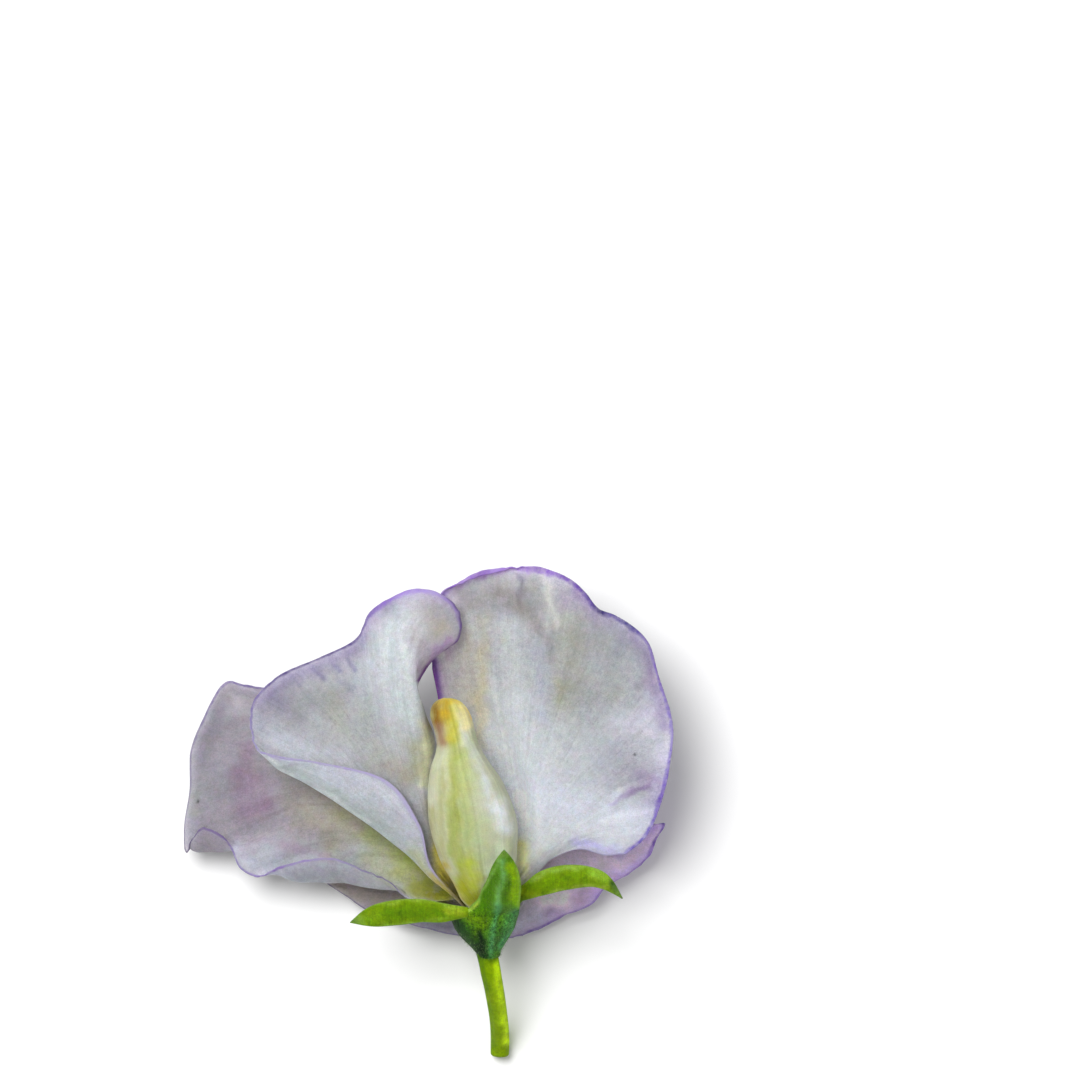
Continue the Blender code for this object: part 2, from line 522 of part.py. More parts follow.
def make_stamens():
    """Sheath of joined filaments, slit along its lower side, with an anther on each filament's end."""
    line = evenly(inner_line(-CALYX_DEPTH + 1.2 + SEAT_GAP), 13)
    tangents = np.gradient(line, axis=0)
    turns = np.radians(np.linspace(-150, 150, 12))
    outer, inner = [], []
    for i, (point, tangent) in enumerate(zip(line, tangents)):
        tangent = tangent / np.linalg.norm(tangent)
        side = np.cross(tangent, (0, 0, 1))
        side = side / np.linalg.norm(side)
        up = np.cross(side, tangent)
        radius = SHEATH_RADIUS * (0.86 + 0.14 * min(1, i / 4))
        for rows, reach in ((outer, radius), (inner, SHEATH_BORE)):
            rows.append([point + reach * (math.sin(t) * side + math.cos(t) * up) for t in turns])
    sheath = shell_between("stamens", np.array(outer), np.array(inner))
    filaments = []
    start, tangent = line[-1], (line[-1] - line[-2]) / np.linalg.norm(line[-1] - line[-2])
    side = np.cross(tangent, (0, 0, 1))
    side = side / np.linalg.norm(side)
    up = np.cross(side, tangent)
    for i in range(ANTHER_COUNT):
        turn = math.radians(-140 + 280 * i / (ANTHER_COUNT - 1))
        ray = math.sin(turn) * side + math.cos(turn) * up
        reach = ANTHER_REACH * (1.0 if i % 2 else 0.8)
        root = start - tangent * 0.5 + ray * 0.82
        tip = start + tangent * reach + ray * 0.72
        shares = (0, 0.5, 0.8, 0.86, 0.93, 1.0)
        radii = (0.17, 0.15, 0.14, 0.24, 0.24, 0.1)
        filaments.append(tube("filament", [root + (tip - root) * s for s in shares], radii, 6))
    return joined(sheath, filaments)


def make_pistil():
    """Flat young pod with its style, running through the sheath."""
    line = evenly(inner_line(-CALYX_DEPTH + 1.2 + SEAT_GAP), 16)
    tangent = (line[-1] - line[-2]) / np.linalg.norm(line[-1] - line[-2])
    line = np.concatenate([line, [line[-1] + tangent * 1.4, line[-1] + tangent * 2.6]])
    radii = [OVARY_RADIUS * (1 if i < 12 else 0.85) for i in range(len(line))]
    radii[0] = radii[-1] = OVARY_RADIUS * 0.7
    return tube("pistil", line, radii, 8)


# Materials


def coloured(made, colour, roughness):
    material = bpy.data.materials.new(made.name)
    material.use_nodes = True
    shader = material.node_tree.nodes["Principled BSDF"]
    shader.inputs["Base Color"].default_value = (*colour, 1)
    shader.inputs["Roughness"].default_value = roughness
    shader.inputs["Metallic"].default_value = 0
    made.data.materials.clear()
    made.data.materials.append(material)


def main():
    for leftover in list(bpy.data.objects):
        bpy.data.objects.remove(leftover)
    coloured(make_stalk(), (0.27, 0.40, 0.02), 0.5)
    coloured(make_calyx(), (0.11, 0.24, 0.03), 0.55)
    coloured(make_standard(), (0.44, 0.38, 0.50), 0.6)
    coloured(make_wing("wing_left", -1, LEFT_WING_RINGS), (0.66, 0.65, 0.74), 0.6)
    coloured(make_wing("wing_right", 1, RIGHT_WING_RINGS), (0.66, 0.65, 0.74), 0.6)
    coloured(make_keel(), (0.70, 0.74, 0.42), 0.5)
    coloured(make_stamens(), (0.80, 0.82, 0.55), 0.5)
    coloured(make_pistil(), (0.45, 0.62, 0.20), 0.5)


main()
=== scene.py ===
"""The sweet pea bloom as it lies: veined petals, a hairy calyx and a ribbed stalk."""

import math

import bpy
import numpy as np
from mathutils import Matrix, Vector


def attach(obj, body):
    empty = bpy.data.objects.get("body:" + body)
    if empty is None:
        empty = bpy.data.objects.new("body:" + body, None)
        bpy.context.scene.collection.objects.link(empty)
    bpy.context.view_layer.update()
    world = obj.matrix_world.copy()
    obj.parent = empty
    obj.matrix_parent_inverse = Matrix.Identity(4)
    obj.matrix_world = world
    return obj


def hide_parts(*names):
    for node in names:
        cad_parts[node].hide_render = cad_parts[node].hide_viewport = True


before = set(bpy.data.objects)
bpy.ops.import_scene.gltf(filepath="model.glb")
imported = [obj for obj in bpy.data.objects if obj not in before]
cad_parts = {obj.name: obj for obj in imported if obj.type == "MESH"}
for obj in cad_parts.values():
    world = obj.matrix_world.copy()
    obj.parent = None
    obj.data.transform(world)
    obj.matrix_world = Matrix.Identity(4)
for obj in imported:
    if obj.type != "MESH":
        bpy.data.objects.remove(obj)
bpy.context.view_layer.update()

MM = 0.001

# Placing, in millimetres, as in the solids

CLAW_DEPTH = 0.8
CLAW_REACH = 0.4
WING_CLAW_OFFSET = 1.8
WING_CLAW_WIDTH = 1.6
STANDARD_CLAW_OFFSET = 1.75
STANDARD_CLAW_WIDTH = 2.0
CALYX_DEPTH = 4.5

# Plan positions below are (right, down, height): right of and below a datum at the upper left of
# the bloom, as it lies, and above the surface. The datum puts the origin under the middle.
DATUM_RIGHT = 42.75
DATUM_DOWN = 81.23

# The calyx mouth: its centre in plan and height, and the way the flower's own axis points there
MOUTH = (48.45, 91.15, 8.8)
AXIS = Vector((-0.12, 0.985, 0.12)).normalized()
VENTRAL = (Vector((0, 0, 1)) - AXIS.z * AXIS).normalized()
SIDE = AXIS.cross(VENTRAL)


def plan(right, down, height):
    """A plan position as a point of the part, in millimetres."""
    return np.array((right - DATUM_RIGHT, DATUM_DOWN - down, height))


def mouth(side, ventral, out):
    """A point given from the calyx mouth: sideways, towards the keel, and out along the axis."""
    return plan(*MOUTH) + np.array(SIDE * side + VENTRAL * ventral + AXIS * out)


# Petal rings
#
# Each petal is a sheet through rings that cross its veins. A ring is a tuple of (vein, right,
# down, height). Vein numbers run from one margin of the petal to the other, and the last ring is
# the edge. The wings have the rings of the solids, and the standard differs only at its right tip.

STANDARD_VEINS = 46
STANDARD_RINGS = (
    ((0, 46.6, 89.9, 6.9), (8, 46.9, 89.3, 6.7), (16, 47.5, 89.0, 6.6), (23, 48.3, 88.9, 6.5),
     (30, 49.2, 89.0, 6.3), (38, 50.2, 89.1, 5.8), (46, 50.7, 89.4, 5.3)),
    ((0, 44.6, 90.0, 7.1), (4, 44.9, 88.4, 6.4), (10, 45.4, 87.0, 5.9), (16, 46.2, 85.8, 5.6),
     (22, 47.8, 85.2, 5.4), (27, 49.8, 85.6, 5.3), (31, 51.2, 86.6, 5.2), (35, 52.0, 88.0, 5.0),
     (38, 52.3, 89.2, 4.5), (41, 52.2, 90.2, 4.3), (44, 51.8, 90.9, 4.3), (46, 51.5, 91.1, 4.4)),
    ((0, 42.6, 90.2, 7.3), (3, 42.0, 87.6, 6.0), (7, 41.6, 85.0, 5.2), (12, 41.2, 82.2, 4.8),
     (16, 42.0, 79.6, 4.5), (19, 43.4, 78.6, 4.4), (22, 45.6, 79.2, 4.3), (25, 49.6, 79.4, 4.2),
     (28, 52.8, 81.2, 4.2), (31, 54.6, 83.6, 4.3), (34, 54.8, 87.0, 4.2), (37, 53.6, 90.2, 3.6),
     (39, 52.0, 91.8, 3.4), (41, 50.0, 92.0, 3.6), (44, 48.8, 91.4, 3.8), (46, 48.6, 91.0, 3.9)),
    ((0, 41.6, 89.9, 7.5), (2, 39.6, 88.3, 5.9), (4, 36.6, 86.4, 5.0), (6, 34.2, 84.6, 4.8),
     (8, 32.4, 82.9, 5.0), (10, 30.6, 81.1, 4.6), (12, 29.6, 79.4, 4.1), (14, 28.8, 77.4, 3.4),
     (16, 29.0, 74.4, 2.6), (18, 31.4, 72.2, 2.1), (20, 37.0, 73.2, 2.8), (22, 44.6, 76.4, 3.7),
     (24, 50.2, 72.8, 3.0), (26, 56.0, 72.2, 2.4), (28, 59.0, 76.4, 2.4), (30, 59.6, 81.0, 3.6),
     (31, 59.6, 83.0, 4.2), (33, 59.0, 86.0, 4.0), (35, 57.4, 89.0, 3.2), (37, 54.4, 91.4, 2.6),
     (39, 51.2, 92.8, 2.7), (41, 47.6, 92.5, 3.2), (43, 45.0, 91.2, 3.4), (46, 44.2, 89.5, 3.5)),
    ((0, 41.0, 89.8, 7.6), (1, 39.4, 88.9, 6.7), (2, 37.6, 88.5, 6.3), (3, 34.4, 88.1, 5.8),
     (4, 31.6, 88.1, 5.5), (5, 29.0, 88.0, 5.6), (6, 27.6, 86.9, 5.3), (7, 26.0, 85.6, 5.7),
     (8, 24.6, 84.6, 5.2), (9, 22.8, 84.9, 4.6), (10, 20.6, 85.1, 4.0), (11, 19.3, 85.0, 3.6),
     (12, 20.2, 83.4, 3.3), (13, 20.0, 81.2, 3.0), (14, 20.4, 78.6, 2.4), (15, 20.6, 75.4, 1.5),
     (16, 22.2, 72.8, 0.3), (17, 24.4, 71.0, 0.0), (18, 26.6, 70.4, 0.3), (19, 30.0, 70.1, 2.0),
     (20, 35.2, 71.6, 2.9), (21, 41.2, 74.2, 3.5), (22, 44.5, 75.2, 3.7), (23, 47.4, 72.8, 3.4),
     (24, 50.6, 69.6, 3.0), (25, 54.4, 65.4, 1.2), (26, 58.8, 67.0, 0.2), (27, 61.4, 70.6, 0.0),
     (28, 63.4, 74.0, 0.8), (29, 64.0, 78.1, 2.5), (30, 63.6, 81.2, 4.1), (31, 64.9, 82.8, 5.7),
     (32, 64.3, 84.2, 5.4), (33, 63.7, 85.9, 4.4), (34, 62.2, 87.5, 3.4), (35, 60.1, 89.0, 2.8),
     (36, 58.6, 90.6, 2.2), (37, 55.9, 91.9, 2.0), (38, 53.4, 93.0, 1.8), (39, 50.9, 93.7, 1.8),
     (40, 47.5, 93.7, 1.8), (41, 44.2, 92.9, 2.1), (42, 41.2, 92.0, 2.4), (43, 38.8, 91.1, 2.5),
     (44, 37.0, 89.9, 2.6), (45, 35.6, 88.6, 2.6), (46, 37.0, 87.4, 2.8)),
    ((0, 40.5, 89.5, 7.7), (1, 38.6, 88.0, 7.9), (2, 36.4, 86.9, 8.0), (3, 33.6, 85.9, 8.0),
     (4, 30.8, 85.9, 7.8), (5, 28.2, 86.6, 7.0), (6, 25.9, 87.7, 5.8), (7, 24.0, 86.9, 5.6),
     (8, 23.1, 85.0, 5.6), (9, 22.1, 83.5, 6.2), (10, 20.2, 82.8, 6.0), (11, 19.2, 84.0, 5.0),
     (12, 18.4, 85.3, 3.4), (13, 18.3, 82.6, 3.0), (14, 18.8, 79.0, 2.4), (15, 18.9, 75.2, 1.8),
     (16, 20.3, 71.5, 0.6), (17, 22.2, 68.4, 0.4), (18, 24.4, 68.6, 1.0), (19, 28.6, 69.4, 2.6),
     (20, 34.4, 71.0, 3.4), (21, 40.4, 73.2, 3.6), (22, 44.4, 74.4, 3.8), (23, 47.4, 71.6, 3.4),
     (24, 50.8, 67.4, 3.4), (25, 54.8, 63.4, 2.0), (26, 60.0, 64.6, 0.9), (27, 63.3, 68.6, 0.7),
     (28, 64.6, 73.4, 1.6), (29, 64.8, 78.0, 2.8), (30, 64.3, 81.7, 4.6), (30.5, 65.1, 82.5, 5.5),
     (31, 66.4, 82.3, 6.2), (32, 65.7, 83.9, 5.8), (33, 65.0, 85.6, 4.6), (34, 63.2, 87.3, 3.4),
     (35, 60.7, 88.8, 2.8), (36, 59.2, 90.6, 2.2), (37, 56.2, 91.9, 1.9), (38, 53.5, 93.3, 1.6),
     (39, 50.8, 94.0, 1.4), (40, 47.0, 94.0, 1.5), (41, 43.2, 93.2, 1.7), (42, 39.6, 92.2, 2.0),
     (43, 36.8, 91.3, 2.2), (44, 34.6, 89.8, 2.3), (45, 32.3, 88.1, 2.3), (46, 34.6, 86.8, 2.5)),
)
WING_VEINS = 15
LEFT_WING_RINGS = (
    ((0, 45.8, 87.0, 8.0), (2, 45.0, 86.4, 8.6), (4, 44.3, 86.0, 9.1), (6, 43.7, 85.8, 9.2),
     (8, 43.2, 85.8, 9.1), (10, 42.8, 86.2, 9.0), (12, 42.7, 87.1, 9.3), (13, 43.0, 87.5, 9.8),
     (14, 43.2, 87.3, 10.5), (15, 43.3, 86.7, 11.1)),
    ((0, 44.4, 82.0, 7.6), (1, 43.9, 81.4, 8.3), (2, 43.3, 80.8, 9.4), (3, 42.7, 80.4, 10.4),
     (5, 41.6, 79.2, 11.2), (7, 40.3, 78.7, 11.2), (9, 38.8, 78.8, 10.4), (11, 37.4, 80.0, 9.5),
     (12, 37.6, 81.5, 9.3), (13, 39.4, 84.2, 9.9), (14, 40.6, 83.6, 11.2), (15, 42.0, 82.2, 12.6)),
    ((0, 44.3, 76.6, 8.4), (1, 43.8, 75.8, 9.8), (2, 43.3, 75.2, 11.5), (3, 42.3, 75.0, 12.7),
     (5, 40.0, 73.0, 13.0), (7, 37.8, 72.5, 12.3), (9, 34.4, 73.2, 11.3), (11, 31.8, 75.4, 10.1),
     (12, 32.0, 77.4, 9.7), (13, 34.0, 80.2, 10.2), (14, 35.4, 79.6, 11.4), (15, 38.6, 77.8, 12.9)),
    ((0, 42.8, 72.2, 10.0), (1, 42.4, 71.2, 11.9), (2, 42.2, 70.1, 14.3), (3, 41.4, 68.6, 15.4),
     (4, 40.4, 66.8, 15.2), (5, 39.4, 66.4, 14.4), (6, 37.9, 66.6, 13.6), (7, 36.3, 67.2, 12.8),
     (8, 33.4, 67.8, 12.3), (9, 30.4, 69.4, 11.9), (10, 28.3, 71.4, 11.4), (11, 27.8, 73.2, 10.9),
     (12, 28.0, 75.3, 10.4), (13, 29.2, 77.4, 10.4), (14, 29.8, 76.8, 11.4),
     (15, 32.0, 76.1, 12.5)),
    ((0, 41.6, 69.3, 11.1), (1, 41.6, 68.6, 13.0), (2, 41.8, 67.4, 14.8), (3, 42.2, 64.6, 15.4),
     (4, 42.4, 61.8, 15.0), (5, 40.3, 60.8, 14.6), (6, 37.6, 62.4, 13.4), (7, 36.0, 64.8, 12.7),
     (8, 32.4, 66.3, 12.3), (9, 28.9, 68.0, 12.2), (10, 26.5, 70.4, 12.0), (11, 26.1, 72.4, 11.6),
     (12, 26.4, 74.6, 10.9), (13, 27.2, 76.1, 10.8), (14, 27.8, 76.3, 11.6),
     (15, 28.6, 75.6, 12.3)),
    ((0, 41.7, 67.7, 11.6), (1, 42.5, 66.6, 12.3), (2, 44.3, 65.1, 12.3), (3, 46.1, 63.4, 11.7),
     (4, 45.4, 60.2, 12.0), (5, 41.4, 58.9, 13.0), (6, 37.4, 60.9, 13.0), (7, 35.7, 63.8, 12.6),
     (8, 32.0, 65.7, 12.4), (9, 28.2, 67.4, 12.5), (10, 25.7, 69.7, 12.4), (11, 25.2, 72.0, 12.2),
     (12, 25.4, 73.5, 12.0), (13, 25.6, 74.3, 11.8), (14, 26.0, 74.9, 11.9),
     (15, 26.7, 75.2, 12.3)),
)
RIGHT_WING_RINGS = (
    ((0, 50.4, 87.2, 7.5), (2, 50.9, 86.8, 8.3), (4, 51.4, 86.4, 9.1), (6, 51.9, 86.0, 9.8),
     (8, 52.3, 85.8, 10.3), (10, 52.7, 85.9, 10.5), (12, 53.1, 86.3, 10.3), (13, 53.3, 86.8, 10.1),
     (14, 53.3, 87.3, 9.9), (15, 53.2, 87.8, 9.65)),
    ((0, 48.6, 82.0, 7.4), (2, 50.0, 81.0, 8.3), (4, 51.3, 80.0, 9.5), (6, 52.6, 79.0, 11.0),
     (8, 54.1, 79.1, 11.8), (10, 55.7, 80.2, 11.9), (12, 56.9, 82.3, 11.3), (13, 57.0, 83.4, 10.8),
     (14, 56.6, 84.4, 10.3), (15, 54.6, 86.1, 9.8)),
    ((0, 46.4, 77.0, 7.8), (2, 48.4, 75.0, 8.6), (4, 50.8, 73.0, 10.2), (6, 53.8, 71.7, 12.2),
     (8, 57.0, 72.2, 12.7), (10, 60.0, 75.2, 12.4), (12, 61.2, 79.4, 11.6), (13, 61.0, 81.3, 11.1),
     (14, 60.4, 83.2, 10.4), (15, 57.8, 84.8, 10.0)),
    ((0, 44.4, 72.5, 8.8), (2, 46.6, 69.0, 9.4), (4, 50.2, 66.0, 10.8), (6, 55.0, 64.7, 12.4),
     (8, 59.6, 66.9, 12.6), (10, 63.3, 71.3, 12.4), (12, 64.6, 77.6, 12.0), (13, 63.9, 80.6, 11.5),
     (14, 63.0, 82.9, 10.6), (15, 60.4, 85.4, 9.7)),
    ((0, 43.8, 69.4, 9.6), (1, 44.0, 65.0, 10.1), (2, 45.0, 60.0, 10.8), (3, 46.9, 58.0, 11.2),
     (4, 49.9, 57.0, 11.8), (5, 53.0, 57.4, 12.1), (6, 55.9, 59.0, 12.0), (7, 58.3, 61.4, 12.2),
     (8, 60.9, 63.2, 12.4), (9, 63.6, 65.4, 12.5), (10, 65.0, 69.0, 12.5), (11, 66.1, 73.0, 12.5),
     (12, 66.0, 77.2, 12.3), (13, 65.0, 80.6, 11.8), (14, 64.2, 82.9, 10.8), (15, 61.9, 85.3, 9.6)),
    ((0, 43.3, 66.8, 10.2), (1, 43.2, 62.2, 10.5), (2, 44.2, 59.3, 11.6), (3, 46.4, 58.2, 12.1),
     (4, 49.6, 57.2, 12.5), (5, 53.0, 56.6, 12.4), (6, 56.3, 57.5, 11.8), (7, 58.7, 59.4, 11.8),
     (7.5, 59.8, 60.8, 12.0), (8, 61.5, 61.5, 12.2), (9, 64.6, 63.9, 12.4), (10, 65.8, 67.5, 12.7),
     (11, 67.2, 72.4, 12.8), (12, 66.8, 77.0, 12.6), (13, 65.9, 80.6, 11.9), (14, 64.6, 83.5, 10.6),
     (15, 62.5, 85.3, 9.6)),
)

# Keel stations: (down, right of the middle line, half width, ridge height, lower height, half the
# angle that the wall spans). The first two are the claw, and the last one is the closed tip.
KEEL_STATIONS = (
    (91.8, 48.6, 2.0, 10.75, 9.55, 35), (90.6, 48.45, 2.2, 10.95, 9.5, 45),
    (89.6, 48.4, 2.4, 11.8, 9.9, 80), (88.0, 48.3, 3.0, 13.5, 9.5, 125),
    (86.0, 47.9, 3.75, 15.3, 8.9, 146), (84.0, 47.6, 4.15, 16.4, 8.6, 148),
    (82.0, 47.35, 4.35, 17.1, 8.5, 149), (80.0, 47.0, 4.15, 17.5, 8.7, 149),
    (78.0, 46.6, 3.7, 17.6, 9.2, 149), (76.5, 46.2, 3.1, 17.4, 9.8, 149),
    (75.0, 45.95, 2.35, 16.9, 10.5, 148), (74.0, 45.75, 2.05, 16.4, 10.9, 147),
    (72.5, 45.4, 2.02, 15.6, 11.1, 147), (71.4, 45.1, 2.0, 15.0, 11.2, 147),
    (70.6, 44.95, 1.72, 14.5, 11.4, 147), (70.05, 44.85, 1.22, 14.0, 11.8, 147),
    (69.66, 44.75, 0.3, 13.4, 12.6, 147),
)

# Calyx teeth: the columns of the rim that a tooth grows from, counted round the mouth from the side
# towards the keel, and then (right, down, height, half width) out to the tip
TEETH = (
    (12, 2, (49.85, 90.3, 13.1, 2.1), (50.1, 89.3, 14.0, 1.95), (50.37, 88.3, 14.9, 1.75),
     (50.47, 87.3, 15.75, 1.52), (50.48, 86.3, 16.45, 1.18), (50.47, 85.4, 17.0, 0.67),
     (50.44, 84.6, 17.35, 0.1)),
    (13, 19, (46.95, 91.0, 11.75, 0.42), (45.7, 91.05, 11.3, 0.68), (44.3, 91.1, 10.9, 0.95),
     (42.2, 90.9, 10.8, 1.15), (39.6, 91.1, 10.9, 1.25), (37.2, 91.5, 10.7, 1.0),
     (35.1, 92.1, 10.0, 0.2)),
    (-4, 1, (51.9, 89.45, 10.3, 0.6), (52.9, 88.9, 10.9, 0.85), (54.4, 88.1, 11.3, 1.2),
     (57.2, 87.5, 11.4, 1.2), (60.0, 87.8, 11.1, 0.85), (62.2, 89.7, 10.2, 0.2)),
    (21, 25, (44.9, 91.3, 5.8, 0.7), (43.4, 91.0, 5.7, 0.75), (41.6, 91.0, 5.6, 0.6),
     (39.4, 91.4, 5.4, 0.15)),
    (27, 31, (51.3, 90.2, 6.1, 0.55), (52.3, 89.3, 6.2, 0.6), (54.0, 88.5, 6.2, 0.6),
     (56.2, 87.9, 6.0, 0.2)),
)

# Calyx bell, at the middle of its wall: (distance back from the mouth, radius), rim first
BELL_PROFILE = (
    (0.0, 3.3), (1.4, 2.8), (2.3, 2.25), (3.2, 1.58), (3.9, 1.05), (4.4, 0.86), (CALYX_DEPTH, 0.6),
)

# Stalk: middle line in plan with its radius, from the calyx to the cut end
STALK = (
    (48.68, 95.1, 8.3, 1.05), (48.93, 96.22, 8.19, 1.03), (49.08, 97.05, 8.0, 1.02),
    (49.32, 98.3, 7.15, 0.98), (49.6, 100.0, 5.7, 0.95), (49.84, 101.8, 4.05, 0.92),
    (49.97, 103.4, 2.45, 0.94), (49.98, 104.8, 1.2, 0.94), (49.95, 105.95, 0.92, 0.92),
)

# The rod's last rings before the cut, as shares of its radius, and then the rings across the cut:
# (share of the last ring, how far it stands out)
STALK_END = (0.995, 0.98, 0.955, 0.91, 0.83, 0.70)
CUT_RINGS = ((0.85, 0.02), (0.6, -0.02), (0.3, -0.05), (0.05, -0.05))

# Wall thicknesses in millimetres. A petal is thin within THIN_MARGIN of its margin, and the calyx
# loses the share THINNER_SIDES along the sides of its teeth.

PETAL_SHEET = 0.24
PETAL_MARGIN = 0.1
THIN_MARGIN = 1.2
THINNER_SIDES = 0.65
KEEL_SHEET = 0.3
CALYX_SHEET = 0.42

# How knots are spaced along points and along rows, as a power of the way between them
POINT_SPACING = 0.5
ROW_SPACING = 0.7

# How fine the pieces are, as (rows, columns): cells of a petal, points of the keel and the stalk

STANDARD_SIZE = (120, 380)
LEFT_WING_SIZE = (150, 260)
RIGHT_WING_SIZE = (150, 280)
KEEL_SIZE = (130, 121)
STALK_SIZE = (180, 72)
FINER = 4
CALYX_COLUMNS = 36 * FINER
BELL_ROWS = 8 * FINER
TOOTH_ROWS = 10 * FINER

# Details of the calyx, in millimetres, with the turn round the mouth where its lip stands highest.
# The tooth over the keel lies about KEEL_TOOTH_RIGHT and above KEEL_TOOTH_HEIGHT.
TOOTH_FOLD = 0.18
TOOTH_TIP = 0.03
RIB_HEIGHT = 0.09
LIP_HEIGHT = 0.75
LIP_TURN = 2.18
CALYX_WAVE_HEIGHT = 0.05
KEEL_TOOTH_RIGHT = 49.2
KEEL_TOOTH_REACH = 3.6
KEEL_TOOTH_HEIGHT = 11

# Hairs, in millimetres. A section is (share of the length, radius), with corners at the THIRDS.
HAIRS = 1100
HAIR_SEED = 61
HAIR_LENGTHS = (0.12, 0.30)
SHORTER_ON_TEETH = 0.35
HAIR_LEAN = 0.45
HAIR_SPREAD = 0.25
HAIR_BEND = 0.25
HAIR_SECTIONS = ((-0.1, 0.011), (0.5, 0.008))
THIRDS = (0, 2.09, 4.19)

# The seam along the keel's ridge and the dip beside it: heights in millimetres, and widths as
# shares of the way round the keel
SEAM_HEIGHT = 0.07
SEAM_WIDTH = 0.012
SEAM_DIP = 0.05
SEAM_DIP_WIDTH = 0.03
KEEL_WAVE_HEIGHT = 0.05

# Fine waves. A field is a sum of this many waves, whose phases are spread over a turn.
SWELLS = 14
PLEATS = 12
PHASES = 6.28

# On a petal swells grow up to SWELLS_FULL from the margin, ruffles fade over RUFFLE_WIDTH from it,
# and folds grow up to the share FOLDS_FULL of the petal
SWELLS_FULL = 2
RUFFLE_WIDTH = 0.9
FOLD_HEIGHT = 0.10
FOLDS_FULL = 0.9

# A petal's waves: first seed, lengths and height of the swells, number of folds, the share of the
# petal where they start, number of ruffles and their height
STANDARD_WAVES = (11, (2.5, 8), 0.12, (18, 60), 0.3, (60, 150), 0.07)
LEFT_WING_WAVES = (21, (2.2, 7), 0.12, (8, 30), 0.2, (30, 80), 0.06)
RIGHT_WING_WAVES = (31, (2.2, 7), 0.10, (8, 30), 0.2, (30, 80), 0.06)

# A fold is (height in millimetres, width, x, y, x, y, ...), in tenths of a millimetre in plan
RIGHT_WING_FOLDS = (
    (0.30, 7, 541, 574, 551, 605, 560, 632), (-0.30, 7, 519, 576, 524, 605, 548, 650),
    (-0.25, 5, 614, 800, 632, 788, 655, 783), (0.25, 6, 612, 788, 624, 786),
    (0.8, 14, 484, 715, 496, 745, 512, 780, 524, 815, 527, 840),
)

# Colours are given as they look on the petal, 0 to 255, or a little more where painted light
# brightens a shaded place. Paint is held to BRIGHTEST, and ALBEDO is the share of it that the
# surface keeps.
BRIGHTEST = 272
ALBEDO = 0.80

# Ground colours, and how far up the petal those of the claws reach, as a share of it
STANDARD_GREEN = (150, 158, 70)
STANDARD_GREEN_REACH = 0.22
LEFT_WING_GROUND = (190, 192, 198)
LEFT_WING_CLAW = (186, 168, 40)
LEFT_WING_CLAW_REACH = 0.24
FLAP_GROUND = (202, 208, 217)
FLAP_STARTS = (12.7, 13.2)
RIGHT_WING_GROUND = (196, 201, 206)
KEEL_GROUND = (206, 210, 178)
KEEL_RIM = (200, 206, 160)
BELL_GROUND = (66, 120, 22)
TOOTH_GROUND = (76, 124, 4)
INSIDE_GROUND = (120, 156, 0)
CALYX_RIM = (140, 176, 80)
STALK_GROUND = (134, 166, 0)
CUT_GROUND = (150, 172, 74)

# A rim row is (vein, red, green, blue, width in millimetres, strength). RIM_SCALE brings the rows
# to what the render needs. Sides are the rims of the two side margins, without a vein. No rim shows
# along a petal's bare line, over BARE_WIDTH, both in tenths of a millimetre in plan. FAR_FROM_EDGE
# is the way to the margin on a piece that has none.
RIM_SCALE = (0.92, 0.90, 0.98, 1.25, 1.0)
STANDARD_SIDES = ((150, 140, 200, 0.2, 0.7), (100, 84, 120, 0.2, 0.7))
LEFT_WING_SIDES = ((120, 60, 140, 0.3, 0.6), (182, 168, 220, 0.46, 0.8))
RIGHT_WING_SIDES = ((146, 78, 178, 0.5, 0.9), (168, 156, 216, 0.26, 0.6))
STANDARD_BARE = (412, 892, 432, 896, 460, 905)
LEFT_WING_BARE = (442, 888, 452, 900, 466, 915)
RIGHT_WING_BARE = (520, 880, 533, 888)
BARE_WIDTH = 11
FAR_FROM_EDGE = 9.0
STANDARD_RIM = (
    (0, 120, 104, 152, 0.2, 0.8), (1.5, 128, 112, 160, 0.2, 0.8), (3, 170, 160, 200, 0.22, 0.7),
    (5.5, 148, 114, 188, 0.27, 0.85), (7, 150, 136, 192, 0.2, 0.75),
    (8.2, 132, 110, 170, 0.23, 0.85), (9.5, 116, 90, 150, 0.26, 0.85),
    (11, 90, 70, 120, 0.29, 0.85), (12, 122, 112, 138, 0.16, 0.7), (15, 125, 115, 150, 0.16, 0.6),
    (17, 140, 125, 170, 0.24, 0.8), (19, 122, 106, 162, 0.3, 0.9), (25, 150, 125, 190, 0.3, 0.8),
    (30, 140, 104, 204, 0.34, 0.85), (31, 108, 72, 190, 0.4, 0.9),
    (31.6, 140, 104, 206, 0.34, 0.85), (33, 152, 114, 216, 0.4, 0.85),
    (36, 142, 108, 198, 0.36, 0.8), (40, 120, 100, 160, 0.24, 0.8), (44, 92, 78, 118, 0.2, 0.8),
    (46, 92, 78, 118, 0.2, 0.8),
)
LEFT_WING_RIM = (
    (0, 112, 40, 134, 0.4, 0.95), (2, 118, 48, 140, 0.44, 0.95), (2.6, 146, 92, 184, 0.36, 0.9),
    (3.2, 164, 128, 206, 0.36, 0.85), (4.0, 182, 154, 226, 0.6, 0.85),
    (4.5, 196, 174, 240, 0.85, 0.85), (5.2, 172, 140, 226, 0.95, 0.9),
    (5.8, 144, 110, 196, 0.68, 0.9), (6.5, 104, 84, 150, 0.3, 0.85), (8, 95, 80, 135, 0.2, 0.8),
    (9.5, 110, 95, 155, 0.2, 0.8), (10.5, 150, 135, 190, 0.25, 0.8), (12, 180, 168, 215, 0.25, 0.8),
    (15, 182, 168, 220, 0.3, 0.8),
)
